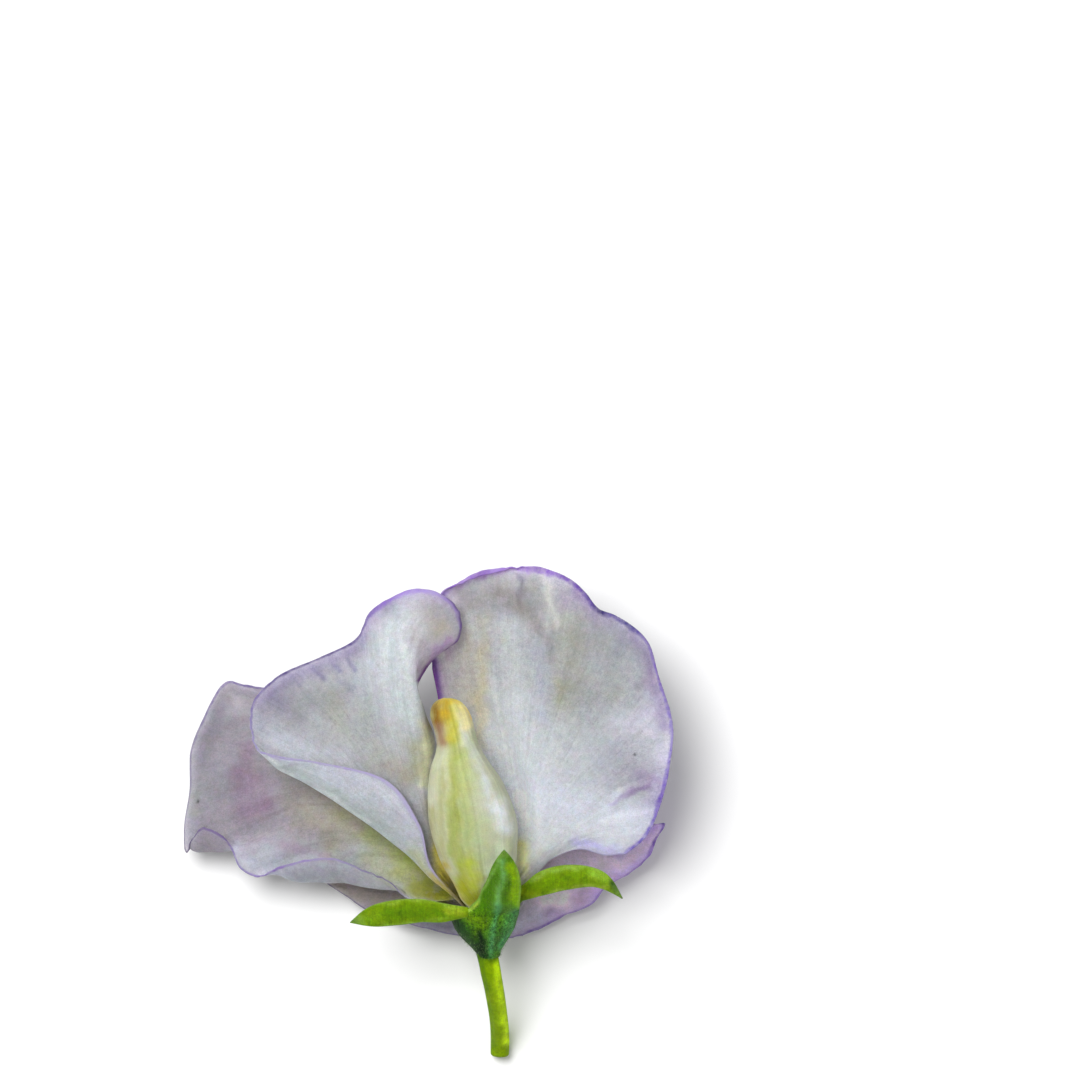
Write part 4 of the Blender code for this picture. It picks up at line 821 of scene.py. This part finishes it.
def over(ground, colour, weight):
    """The ground colours with another laid over them by its weight."""
    weight = weight[..., None]
    return ground * (1 - weight) + np.array(colour, float) * weight


def marked(ground, points, marks, where=1.0, ragged=RAGGED):
    """The ground colours with marks laid over them, their outlines a little ragged."""
    right, down = (swell(points, seed, *RAGGED_LENGTHS) for seed in RAGGED_SEEDS)
    placed = points + np.stack([right, down, 0 * right], axis=-1) * ragged
    uneven = 1 + UNEVEN * swell(points, UNEVEN_SEED, *UNEVEN_LENGTHS)
    for width, strength, colour, *line in marks:
        weight = closeness(placed, line, width) * strength * uneven * where
        ground = over(ground, colour, np.clip(weight, 0, 1))
    return ground


def painted_shading(ground, points, shading_strokes, where=1.0):
    """Painted light and shade: the ground colours made lighter or darker over broad places."""
    level = np.ones(points.shape[:-1])
    for width, share, *line in shading_strokes:
        weight = closeness(points, line, width) * where
        level = level * (1 - weight) + share * weight
    return np.clip(ground * level[..., None], 0, BRIGHTEST)


def glowing(ground, vein, edge, rows):
    """The ground colours with a soft band of colour that fades in from the margin."""
    band = table(rows, vein)
    weight = band[..., 4] * np.exp(-((edge / band[..., 3]) ** 1.4))
    return over(ground, band[..., :3], weight)


def with_strength(colour, strength):
    """Painted colour as the surface holds it, with a strength beside it."""
    beside = np.broadcast_to(strength, colour.shape[:-1])[..., None]
    return np.concatenate([light(colour) * ALBEDO, beside], axis=-1)


# Meshes


def linked(name, data):
    """Object with the data given, put into the scene."""
    made = bpy.data.objects.new(name, data)
    bpy.context.scene.collection.objects.link(made)
    return made


def piece(name, node, points, faces, material, across=None, **stored):
    """Visible piece that stands for a CAD node, with values stored on its points."""
    data = bpy.data.meshes.new(name)
    corners = [tuple(map(int, face)) for face in faces]
    data.from_pydata((np.asarray(points) * MM).tolist(), [], corners)
    data.update()
    data.shade_smooth()
    if across is not None:
        corner = np.empty(len(data.loops), np.int32)
        data.loops.foreach_get("vertex_index", corner)
        veins = data.uv_layers.new(name="veins")
        veins.data.foreach_set("uv", across[corner].astype(np.float32).ravel())
    for key, values in stored.items():
        if values.ndim == 1:
            kept = data.attributes.new(key, "FLOAT", "POINT")
            kept.data.foreach_set("value", values.astype(np.float32))
        else:
            kept = data.color_attributes.new(key, "FLOAT_COLOR", "POINT")
            kept.data.foreach_set("color", values.astype(np.float32).ravel())
    data.materials.append(material)
    made = linked(name, data)
    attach(made, "root")
    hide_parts(node)


def both(one, other):
    """Values at the points of two like grids, the second after the first."""
    return np.concatenate([grid.reshape(-1, *grid.shape[2:]) for grid in (one, other)])


def twice(values):
    return both(values, values)


def grid_faces(rows, columns):
    """Faces of two like grids, the second after the first, joined round their rims."""
    index = np.arange(rows * columns).reshape(rows, columns)
    a, b, d, e = index[:-1, :-1], index[:-1, 1:], index[1:, :-1], index[1:, 1:]
    upper = np.stack([a, d, e, b], axis=-1).reshape(-1, 4)
    lower = np.stack([a, b, e, d], axis=-1).reshape(-1, 4) + rows * columns
    rim = np.concatenate([index[0], index[1:, -1], index[-1, -2::-1], index[-2:0:-1, 0]])
    ahead = np.roll(rim, -1)
    side = np.stack([rim, ahead, ahead + rows * columns, rim + rows * columns], axis=-1)
    return np.concatenate([upper, lower, side])


# Materials


def shader_tree(name, roughness, **settings):
    """Material with its Principled shader's own sockets set, and a helper that adds nodes."""
    material = bpy.data.materials.new(name)
    material.use_nodes = True
    tree = material.node_tree
    shader = tree.nodes["Principled BSDF"]
    shader.inputs["Roughness"].default_value = roughness
    for key, value in settings.items():
        shader.inputs[key.replace("_", " ")].default_value = value

    def add(kind, inputs=(), **properties):
        node = tree.nodes.new("ShaderNode" + kind)
        for key, value in properties.items():
            setattr(node, key, value)
        for key, value in dict(inputs).items():
            if isinstance(value, bpy.types.NodeSocket):
                tree.links.new(value, node.inputs[key])
            else:
                node.inputs[key].default_value = value
        return node

    return material, tree, shader, add


def noise(add, place, scale, detail, roughness, output="Fac"):
    inputs = {"Vector": place, "Scale": scale, "Detail": detail, "Roughness": roughness}
    return add("TexNoise", inputs).outputs[output]


def stretched_noise(add, across, scales, detail, roughness=0.6):
    """Noise drawn out along the veins."""
    place = add("Mapping", {"Vector": across, "Scale": scales}).outputs[0]
    return noise(add, place, 1.0, detail, roughness)


def spread(add, value, low, high, to_low, to_high, **properties):
    """Value carried from one range to another, held at its ends."""
    names = ("Value", "From Min", "From Max", "To Min", "To Max")
    inputs = dict(zip(names, (value, low, high, to_low, to_high)))
    return add("MapRange", inputs, **properties).outputs[0]


def maths(add, operation, *values, **properties):
    return add("Math", dict(enumerate(values)), operation=operation, **properties).outputs[0]


def mixed(add, share, one, two):
    """Colour between two others, each a socket or given from 0 to 255."""
    one, two = (c if isinstance(c, bpy.types.NodeSocket) else (*light(c), 1) for c in (one, two))
    return add("Mix", {0: share, 6: one, 7: two}, data_type="RGBA").outputs[2]


def roughened(add, tree, shader, height, strength, distance):
    """Bump from a height on the shader's normal."""
    bump = add("Bump", {"Height": height, "Strength": strength, "Distance": distance})
    tree.links.new(bump.outputs[0], shader.inputs["Normal"])


def skin(name, roughness, streaks, veins, cells, blush, blotches, relief, mottled, small, **more):
    """Living surface: painted colour with vein streaks, cells, soft blotches and a coloured margin.

    streaks is how strong the streaks are, and veins how many coarse and fine ones lie across.
    cells is the strength of the grain where the paint's own strength is full and where it is 0,
    which also turns off the soft glow. blotches is the strength of those in the colour blush,
    mottled is how far the hue wanders, and relief the strength of the bump. small scales every
    noise.
    """
    material, tree, shader, add = shader_tree(name, roughness, **more)
    coarse, fine = veins
    across = add("UVMap", uv_map="veins").outputs[0]
    place = add("TexCoord").outputs["Object"]
    paint = add("Attribute", attribute_name="tint")
    painted, soft = paint.outputs["Color"], paint.outputs["Alpha"]
    grain, crinkle, mottle, patch = (
        noise(add, place, scale * small, *rest) for scale, *rest in (GRAIN, CRINKLE, MOTTLE, PATCH)
    )
    wide = stretched_noise(add, across, (coarse, coarse * 0.035, 1), 3)
    narrow = stretched_noise(add, across, (fine, fine * 0.03, 1), 4, 0.7)
    ribs = maths(add, "ADD", maths(add, "MULTIPLY", wide, 0.5), maths(add, "MULTIPLY", narrow, 0.5))
    lift = spread(add, ribs, 0.34, 0.66, 1 - streaks, 1 + streaks)
    rough = spread(add, soft, 0.0, 1.0, cells[1], cells[0])
    for speckle in (grain, crinkle):
        centred = spread(add, speckle, 0.3, 0.7, -1.0, 1.0)
        lift = maths(add, "MULTIPLY", lift, maths(add, "MULTIPLY_ADD", rough, centred, 1.0))
    blotched = mixed(add, spread(add, patch, 0.52, 0.75, 0.0, blotches), painted, blush)
    wander = {0: mottle, 1: (mottled,) * 3, 2: (1 - mottled / 2,) * 3}
    hues = add("VectorMath", wander, operation="MULTIPLY_ADD").outputs[0]
    hued = add("VectorMath", {0: blotched, 1: hues}, operation="MULTIPLY").outputs[0]
    body = add("HueSaturation", {"Value": lift, "Color": hued}).outputs[0]
    rim = add("Attribute", attribute_name="rim")
    width = add("Attribute", attribute_name="rim_width").outputs["Fac"]
    edge = add("Attribute", attribute_name="edge").outputs["Fac"]
    frayed = maths(add, "MULTIPLY", edge, spread(add, patch, 0.35, 0.65, 0.75, 1.35))
    reached = maths(add, "DIVIDE", frayed, width)
    near = spread(add, reached, 0.45, 1.25, 1.0, 0.0, interpolation_type="SMOOTHSTEP")
    near = maths(add, "MULTIPLY", near, spread(add, crinkle, 0.36, 0.62, 0.55, 1.2))
    near = maths(add, "MULTIPLY", near, rim.outputs["Alpha"], use_clamp=True)
    tree.links.new(mixed(add, near, body, rim.outputs["Color"]), shader.inputs["Base Color"])
    weight = shader.inputs["Subsurface Weight"]
    glow = spread(add, near, 0.0, 1.0, weight.default_value, 0.0)
    tree.links.new(maths(add, "MULTIPLY", glow, soft), weight)
    height = maths(add, "ADD", ribs, maths(add, "MULTIPLY", grain, 0.35))
    height = maths(add, "ADD", height, crinkle)
    roughened(add, tree, shader, height, relief, SKIN_RELIEF)
    return material


# Petals


def petal(
    name, claw, rings, veins, size, waves, colours, spots, rims, sides, bare, material, folds=()
):
    """Thin petal through its rings, with a fine margin, small waves and its painted colours.

    sides are the rims of the two side margins, and bare is a line along which no rim shows.
    """
    rows, columns = size
    grid = sheet(claw, rings, veins, rows, columns)
    vein = np.broadcast_to(np.linspace(0, veins, columns + 1), grid.shape[:2])
    reach = np.broadcast_to(np.linspace(0, 1, rows + 1)[:, None], grid.shape[:2])
    edge, margin = to_margin(grid)
    normal = sheet_normals(grid, passes=6)
    lift = small_waves(grid, vein / veins, reach, edge, *waves)
    for height, width, *line in folds:
        lift = lift + height * closeness(grid, line, width)
    grid = grid + normal * lift[..., None]
    thickness = PETAL_MARGIN + (PETAL_SHEET - PETAL_MARGIN) * ramp(edge, 0, THIN_MARGIN)
    grid[..., 2] = np.maximum(grid[..., 2], thickness / 2)
    offset = sheet_normals(grid, passes=3) * thickness[..., None] / 2
    rim = table(rims, vein) * RIM_SCALE
    for number, side in enumerate(sides, 1):
        rim = np.where((margin == number)[..., None], np.array(side, float), rim)
    rim[..., 4] *= 1 - closeness(grid, bare, BARE_WIDTH)
    firm = sum(closeness(grid, line, width) for width, _, _, *line in spots)
    painted = marked(colours(grid, vein, reach, edge), grid, spots, ragged=SPOT_RAGGED)
    across = np.stack([vein / veins, reach], axis=-1)
    piece(
        name + "_petal", name, both(grid + offset, grid - offset),
        grid_faces(rows + 1, columns + 1), material, twice(across),
        tint=twice(with_strength(painted, 1 - np.clip(firm, 0, 1))),
        rim=twice(with_strength(rim[..., :3], rim[..., 4])),
        rim_width=twice(rim[..., 3]), edge=twice(edge),
    )


def petal_skin(name, blush, blotches):
    return skin(
        name, 0.6, streaks=0.11, veins=(46.0, 150.0), cells=(0.16, 0.16), blush=blush,
        blotches=blotches, relief=0.8, mottled=0.38, small=1.5, Subsurface_Weight=0.75,
        Subsurface_Radius=(1.0, 0.95, 1.0), Subsurface_Scale=0.0016, Specular_IOR_Level=0.2,
        Sheen_Weight=0.08, Sheen_Roughness=0.5,
    )


def make_standard():
    def claw(share, out):
        return mouth(STANDARD_CLAW_WIDTH * (share - 0.5), -STANDARD_CLAW_OFFSET, out)

    def colours(grid, vein, reach, edge):
        green = np.exp(-reach / STANDARD_GREEN_REACH)
        ground = over(table(STANDARD_GROUND, vein), STANDARD_GREEN, green)
        ground = marked(glowing(ground, vein, edge, STANDARD_GLOW), grid, STANDARD_MARKS)
        return painted_shading(ground, grid, STANDARD_PAINTED_SHADING)

    petal(
        "standard", claw, STANDARD_RINGS, STANDARD_VEINS, STANDARD_SIZE, STANDARD_WAVES, colours,
        STANDARD_SPOTS, STANDARD_RIM, STANDARD_SIDES, STANDARD_BARE,
        petal_skin("mauve petal", (150, 128, 160), 0.35),
    )


def wing_claw(offset):
    """Claw of a wing, which stands sideways from the middle by the offset."""
    return lambda share, out: mouth(offset, WING_CLAW_WIDTH * (share - 0.5), out)


def make_left_wing():
    def colours(grid, vein, reach, edge):
        flap = ramp(vein, *FLAP_STARTS)
        ground = marked(plain(LEFT_WING_GROUND, vein), grid, LEFT_WING_MARKS, 1 - flap)
        ground = marked(over(ground, FLAP_GROUND, flap), grid, LEFT_WING_FLAP_MARKS, flap)
        ground = glowing(ground, vein, edge, LEFT_WING_GLOW)
        ground = over(ground, LEFT_WING_CLAW, ramp(LEFT_WING_CLAW_REACH - reach, 0, 0.1))
        return painted_shading(ground, grid, LEFT_WING_PAINTED_SHADING, 1 - flap)

    petal(
        "wing_left", wing_claw(-WING_CLAW_OFFSET), LEFT_WING_RINGS, WING_VEINS, LEFT_WING_SIZE,
        LEFT_WING_WAVES, colours, LEFT_WING_SPOTS, LEFT_WING_RIM, LEFT_WING_SIDES, LEFT_WING_BARE,
        petal_skin("left wing", (170, 168, 184), 0.3),
    )


def make_right_wing():
    def colours(grid, vein, reach, edge):
        ground = marked(plain(RIGHT_WING_GROUND, vein), grid, RIGHT_WING_MARKS)
        return painted_shading(glowing(ground, vein, edge, RIGHT_WING_GLOW), grid, RIGHT_WING_PAINTED_SHADING)

    petal(
        "wing_right", wing_claw(WING_CLAW_OFFSET), RIGHT_WING_RINGS, WING_VEINS, RIGHT_WING_SIZE,
        RIGHT_WING_WAVES, colours, RIGHT_WING_SPOTS, RIGHT_WING_RIM, RIGHT_WING_SIDES,
        RIGHT_WING_BARE, petal_skin("right wing", (172, 172, 180), 0.3), RIGHT_WING_FOLDS,
    )


def make_keel():
    """The two front petals, joined along a fine seam that runs up the ridge."""
    rows, columns = KEEL_SIZE
    outer = []
    for down, right, half_width, ridge, low, span in evenly(KEEL_STATIONS, rows):
        middle, half_depth = (ridge + low) / 2, (ridge - low) / 2
        outer.append([
            plan(right + half_width * math.sin(t), down, middle + half_depth * math.cos(t))
            for t in np.radians(np.linspace(-span, span, columns))
        ])
    outer = np.array(outer)
    share = np.broadcast_to(np.linspace(0, 1, columns), outer.shape[:2])
    reach = np.broadcast_to(np.linspace(0, 1, rows)[:, None], outer.shape[:2])
    edge, _ = to_margin(outer)
    inward = sheet_normals(outer, passes=6)
    swelled, pleated = swell(outer, 41, 2.0, 6), pleats(share, 42, 8, 40)
    fine = swelled * KEEL_WAVE_HEIGHT + pleated * KEEL_WAVE_HEIGHT
    off = share - 0.5
    seam = SEAM_HEIGHT * hump(off, SEAM_WIDTH) - SEAM_DIP * hump(off, SEAM_DIP_WIDTH)
    outer = outer - inward * ((fine + seam) * ramp(edge, 0, 1))[..., None]
    wall = KEEL_SHEET * (0.4 + 0.6 * ramp(edge, 0, 0.8))
    inner = outer + sheet_normals(outer, passes=4) * wall[..., None]
    painted = marked(plain(KEEL_GROUND, share), outer, KEEL_MARKS)
    material = skin(
        "keel petals", 0.5, streaks=0.09, veins=(30.0, 90.0), cells=(0.08, 0.08),
        blush=(188, 192, 120), blotches=0.35, relief=0.5, mottled=0.32, small=1.4,
        Subsurface_Weight=0.75, Subsurface_Radius=(1.0, 1.0, 0.7), Subsurface_Scale=0.0008,
        Specular_IOR_Level=0.2, Sheen_Weight=0.05, Sheen_Roughness=0.5,
    )
    piece(
        "keel_petals", "keel", both(outer, inner), grid_faces(rows, columns)[:, ::-1], material,
        twice(np.stack([share, reach], axis=-1)), tint=twice(with_strength(painted, 1.0)),
        rim=twice(with_strength(plain(KEEL_RIM, share), 0.4)),
        rim_width=np.full(2 * rows * columns, 0.2), edge=twice(edge),
    )


# Calyx and stalk


def tooth_rows(rim, below, stations):
    """Rows of points for one tooth, from the rim to its tip, folded a little along its middle."""
    shares = np.linspace(-1, 1, len(rim))
    rows = [below, rim]
    points = np.array([plan(*station[:3]) for station in stations])
    for point, tangent, station in zip(points, np.gradient(points, axis=0), stations):
        across = unit(np.cross(tangent, (0, 0, 1)))
        normal = unit(np.cross(across, tangent))
        rows.append([
            point + station[3] * (across * share - normal * TOOTH_FOLD * abs(share) ** 1.5)
            for share in shares
        ])
    return drawn(np.array(rows), TOOTH_ROWS, 1)[1:]


def calyx_sheet():
    """Points and faces of the bell and its teeth, with two values for each point.

    The first is how near it is to a tooth's margin, and the second how far it belongs to a tooth.
    """
    points = [mouth(0, 0, -CALYX_DEPTH)]
    faces, sides, teeth = [], [0.0], [0.0]
    profile = evenly([(radius, 0, -back) for back, radius in BELL_PROFILE], BELL_ROWS)[::-1]
    turns = np.arange(CALYX_COLUMNS) * (2 * math.pi / CALYX_COLUMNS)
    for radius, _, out in profile:
        lip = LIP_HEIGHT * hump(turns - LIP_TURN, 0.3) * ramp(out, -1.5, 0)
        points += [
            mouth(radius * math.cos(t), radius * math.sin(t), out + more)
            for t, more in zip(turns, lip)
        ]
        sides += [0.0] * CALYX_COLUMNS
        teeth += [0.6 * ramp(out, -1.9, 0.0)] * CALYX_COLUMNS

    def at(ring, column):
        return 1 + ring * CALYX_COLUMNS + column % CALYX_COLUMNS

    rim = len(profile) - 1
    for c in range(CALYX_COLUMNS):
        faces.append((0, at(0, c + 1), at(0, c)))
        for ring in range(rim):
            faces.append((at(ring, c), at(ring, c + 1), at(ring + 1, c + 1), at(ring + 1, c)))
    for first, last, *stations in TEETH:
        step = 1 if first < last else -1
        columns = range(first * FINER, last * FINER + step, step)
        stations[-1] = (*stations[-1][:3], TOOTH_TIP)
        below = [points[at(rim - FINER, c)] for c in columns]
        previous = [at(rim, c) for c in columns]
        rows = tooth_rows([points[i] for i in previous], below, stations)
        if step < 0:
            rows, previous = rows[:, ::-1], previous[::-1]
        for number, row in enumerate(rows):
            placed = list(range(len(points), len(points) + len(row)))
            points += list(row)
            share = np.abs(np.linspace(-1, 1, len(row)))
            sides += list(np.maximum(share**2, ramp(number / len(rows), 0.6, 1.0)))
            teeth += [0.6 + 0.4 * ramp((number + 1) / len(rows), 0.0, 0.35)] * len(row)
            for c in range(len(row) - 1):
                faces.append((previous[c], previous[c + 1], placed[c + 1], placed[c]))
            previous = placed
    return np.array(points), faces, np.array(sides, float), np.array(teeth, float)


def point_normals(points, faces, passes):
    """Unit normals of a sheet at its points, evened out, and the directed ends of its edges."""
    normal = np.zeros_like(points)
    ends = []
    for face in faces:
        corner = points[list(face)]
        area = np.cross(corner[-1] - corner[1], corner[2] - corner[0])
        normal[list(face)] += area
        ends += [(one, face[i - 1]) for i, one in enumerate(face)]
    normal = unit(normal)
    ends = np.array(ends)
    for _ in range(passes):
        evened = normal * 2
        np.add.at(evened, ends[:, 0], normal[ends[:, 1]])
        np.add.at(evened, ends[:, 1], normal[ends[:, 0]])
        normal = unit(evened)
    return normal, ends


def make_calyx():
    points, faces, sides, teeth = calyx_sheet()
    normal, ends = point_normals(points, faces, passes=10)
    rib = RIB_HEIGHT * closeness(points, (503, 856, 498, 895, 491, 925, 488, 952), 4.5)
    rough = swell(points, 51, 0.7, 3.0) * CALYX_WAVE_HEIGHT + rib * (normal[:, 2] > 0.2)
    points = points + normal * rough[:, None]
    wall = CALYX_SHEET * (1 - THINNER_SIDES * sides)
    upper, lower = points + normal * wall[:, None] / 2, points - normal * wall[:, None] / 2
    count = len(points)
    every = [face[::-1] for face in faces] + [tuple(i + count for i in face) for face in faces]
    known = set(map(tuple, ends.tolist()))
    for one, two in known:
        if (two, one) not in known:
            every.append((two, one, one + count, two + count))
    # The tooth over the keel has its marks among the bell's, so the other teeth's stay off it
    right, height = upper[:, 0] + DATUM_RIGHT, upper[:, 2]
    aside = (np.abs(right - KEEL_TOOTH_RIGHT) > KEEL_TOOTH_REACH) | (height < KEEL_TOOTH_HEIGHT)
    outer = marked(over(plain(BELL_GROUND, sides), TOOTH_GROUND, teeth), upper, CALYX_MARKS)
    outer = marked(outer, upper, TOOTH_MARKS, teeth * aside)
    inner = marked(plain(INSIDE_GROUND, sides), lower, TOOTH_MARKS, teeth)
    tint = np.concatenate([with_strength(outer, ramp(teeth, 0.55, 0.8)), with_strength(inner, 1.0)])
    across = np.stack([points[:, 0] * 0.12, points[:, 1] * 0.12], axis=-1)
    edge = (1 - sides) * 1.2
    material = skin(
        "calyx", 0.55, streaks=0.20, veins=(40.0, 110.0), cells=(0.26, 0.9), blush=(20, 56, 6),
        blotches=0.45, relief=0.8, mottled=0.5, small=2.4, Subsurface_Weight=0.12,
        Subsurface_Radius=(0.6, 1.0, 0.3), Subsurface_Scale=0.0006, Specular_IOR_Level=0.1,
    )
    piece(
        "calyx_bell", "calyx", np.concatenate([upper, lower]), every, material,
        np.concatenate([across, across]), tint=tint,
        rim=np.broadcast_to((*light(CALYX_RIM), 0.4), (2 * count, 4)),
        rim_width=np.full(2 * count, 0.3), edge=np.concatenate([edge, edge]),
    )
    make_hairs(upper, normal, teeth)


def make_hairs(points, normals, teeth):
    """Short soft hairs that stand out from the calyx and lean to its stalk."""
    dice = np.random.default_rng(HAIR_SEED)
    made, faces = [], []
    for i in dice.choice(len(points), HAIRS, replace=False):
        length = dice.uniform(*HAIR_LENGTHS) * (1 - SHORTER_ON_TEETH * teeth[i])
        lean = np.array(AXIS) * -HAIR_LEAN + dice.normal(size=3) * HAIR_SPREAD
        way = unit(normals[i] + lean)
        side = unit(np.cross(way, dice.normal(size=3)))
        other = np.cross(way, side)
        start = len(made)
        for share, radius in HAIR_SECTIONS:
            centre = points[i] + way * length * share
            made += [centre + radius * (math.cos(t) * side + math.sin(t) * other) for t in THIRDS]
        made.append(points[i] + (way + lean * HAIR_BEND) * length)
        for s in range(3):
            n = (s + 1) % 3
            faces.append((start + s, start + n, start + 3 + n, start + 3 + s))
            faces.append((start + 3 + s, start + 3 + n, start + 6))
        faces.append((start + 2, start + 1, start))
    material, tree, shader, add = shader_tree("calyx_hairs", 0.4, Specular_IOR_Level=0.5)
    patches = noise(add, add("TexCoord").outputs["Object"], 900.0, 2.0, 0.5)
    tree.links.new(mixed(add, patches, (70, 120, 40), (160, 190, 120)), shader.inputs["Base Color"])
    piece("calyx_hairs", "calyx", made, faces, material)


def make_stalk():
    """Round stalk with low ribs and a cut end."""
    length, columns = STALK_SIZE
    line = evenly(STALK, length)
    middle = np.array([plan(*station[:3]) for station in line])
    tangent = unit(np.gradient(middle, axis=0))
    first = unit(np.cross(tangent, (1, 0, 0)))
    second = np.cross(tangent, first)
    turns = np.arange(columns) * (2 * math.pi / columns)
    ribs = 1 + 0.022 * np.cos(5 * turns) + 0.010 * np.cos(11 * turns + 0.8)
    radius = line[:, 3][:, None] * ribs[None]
    radius[-len(STALK_END):] *= np.array(STALK_END)[:, None]
    ray = np.cos(turns)[:, None] * first[:, None] + np.sin(turns)[:, None] * second[:, None]
    rings = [*(middle[:, None] + ray * radius[..., None])]
    end = middle[-1]
    rings += [end + (rings[-1] - end) * share + tangent[-1] * dip for share, dip in CUT_RINGS]
    rings = np.array(rings)
    rings[..., 2] = np.maximum(rings[..., 2], 0.0)
    rows = len(rings)
    index = np.arange(rows * columns).reshape(rows, columns)
    ahead = np.roll(index, -1, axis=1)
    faces = [*np.stack([index[:-1], ahead[:-1], ahead[1:], index[1:]], axis=-1).reshape(-1, 4)]
    faces += [index[0][::-1], index[-1]]
    points = rings.reshape(-1, 3)
    count = len(points)
    ground = marked(plain(STALK_GROUND, points[:, 0]), points, STALK_MARKS)
    ground[-len(CUT_RINGS) * columns:] = CUT_GROUND
    around = np.broadcast_to(np.abs(np.linspace(-1, 1, columns)), (rows, columns)).ravel()
    along = np.repeat(np.linspace(0, 1, rows), columns)
    material = skin(
        "stalk", 0.45, streaks=0.12, veins=(26.0, 70.0), cells=(0.20, 0.20), blush=(110, 146, 0),
        blotches=0.25, relief=0.5, mottled=0.25, small=1.6, Subsurface_Weight=0.15,
        Subsurface_Radius=(0.6, 1.0, 0.2), Subsurface_Scale=0.0008, Specular_IOR_Level=0.05,
    )
    piece(
        "stalk_rod", "stalk", points, faces, material, np.stack([around, along], axis=-1),
        tint=with_strength(ground, 1.0), rim=np.zeros((count, 4)), rim_width=np.ones(count),
        edge=np.full(count, FAR_FROM_EDGE),
    )


def finish_inner(name, colour, tip):
    """Pale filaments or green pod: the solid keeps its shape and gets a streaked, grainy finish."""
    material, tree, shader, add = shader_tree(
        name + " finish", 0.5,
        Subsurface_Weight=0.2, Subsurface_Radius=(1.0, 1.0, 0.4), Subsurface_Scale=0.0006,
    )
    place = add("TexCoord").outputs["Object"]
    streak = stretched_noise(add, place, (3200, 500, 3200), 3)
    upward = add("SeparateXYZ", {0: place}).outputs[1]
    body = mixed(add, spread(add, upward, *TIP_STARTS, 0.0, 1.0), colour, tip)
    streaked = {"Value": spread(add, streak, 0.3, 0.7, 0.85, 1.1), "Color": body}
    tree.links.new(add("HueSaturation", streaked).outputs[0], shader.inputs["Base Color"])
    roughened(add, tree, shader, streak, 0.4, INNER_RELIEF)
    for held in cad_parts[name].material_slots:
        held.material = material


# Floor, light and camera


def make_stage():
    far = 1.5
    data = bpy.data.meshes.new("floor")
    corners = [(-far, -far, 0), (far, -far, 0), (far, far, 0), (-far, far, 0)]
    data.from_pydata(corners, [], [(0, 1, 2, 3)])
    material, _, shader, _ = shader_tree("floor", 0.9, Specular_IOR_Level=0.1)
    shader.inputs["Base Color"].default_value = (0.92, 0.92, 0.92, 1)
    data.materials.append(material)
    linked("floor", data)

    world = bpy.data.worlds.new("studio")
    world.use_nodes = True
    background = world.node_tree.nodes["Background"]
    background.inputs["Color"].default_value = (1.0, 1.0, 1.0, 1)
    background.inputs["Strength"].default_value = 0.50
    bpy.context.scene.world = world

    lamp = bpy.data.lights.new("key", "AREA")
    lamp.shape = "DISK"
    lamp.size = 0.42
    lamp.energy = 4.6
    key = linked("key", lamp)
    key.location = (-0.20, 0.23, 0.62)
    key.rotation_euler = (-key.location).to_track_quat("-Z", "Y").to_euler()

    view = bpy.data.cameras.new("camera")
    view.lens = 300
    view.sensor_width = 36
    view.clip_end = 10
    camera = linked("camera", view)
    camera.location = (0.01125, 0.02723, 0.9065)
    bpy.context.scene.camera = camera
    bpy.context.scene.view_settings.view_transform = "Standard"


make_stage()
make_stalk()
make_calyx()
make_standard()
make_left_wing()
make_right_wing()
make_keel()
finish_inner("stamens", (206, 214, 176), (226, 178, 60))
finish_inner("pistil", (150, 178, 88), (196, 206, 150))
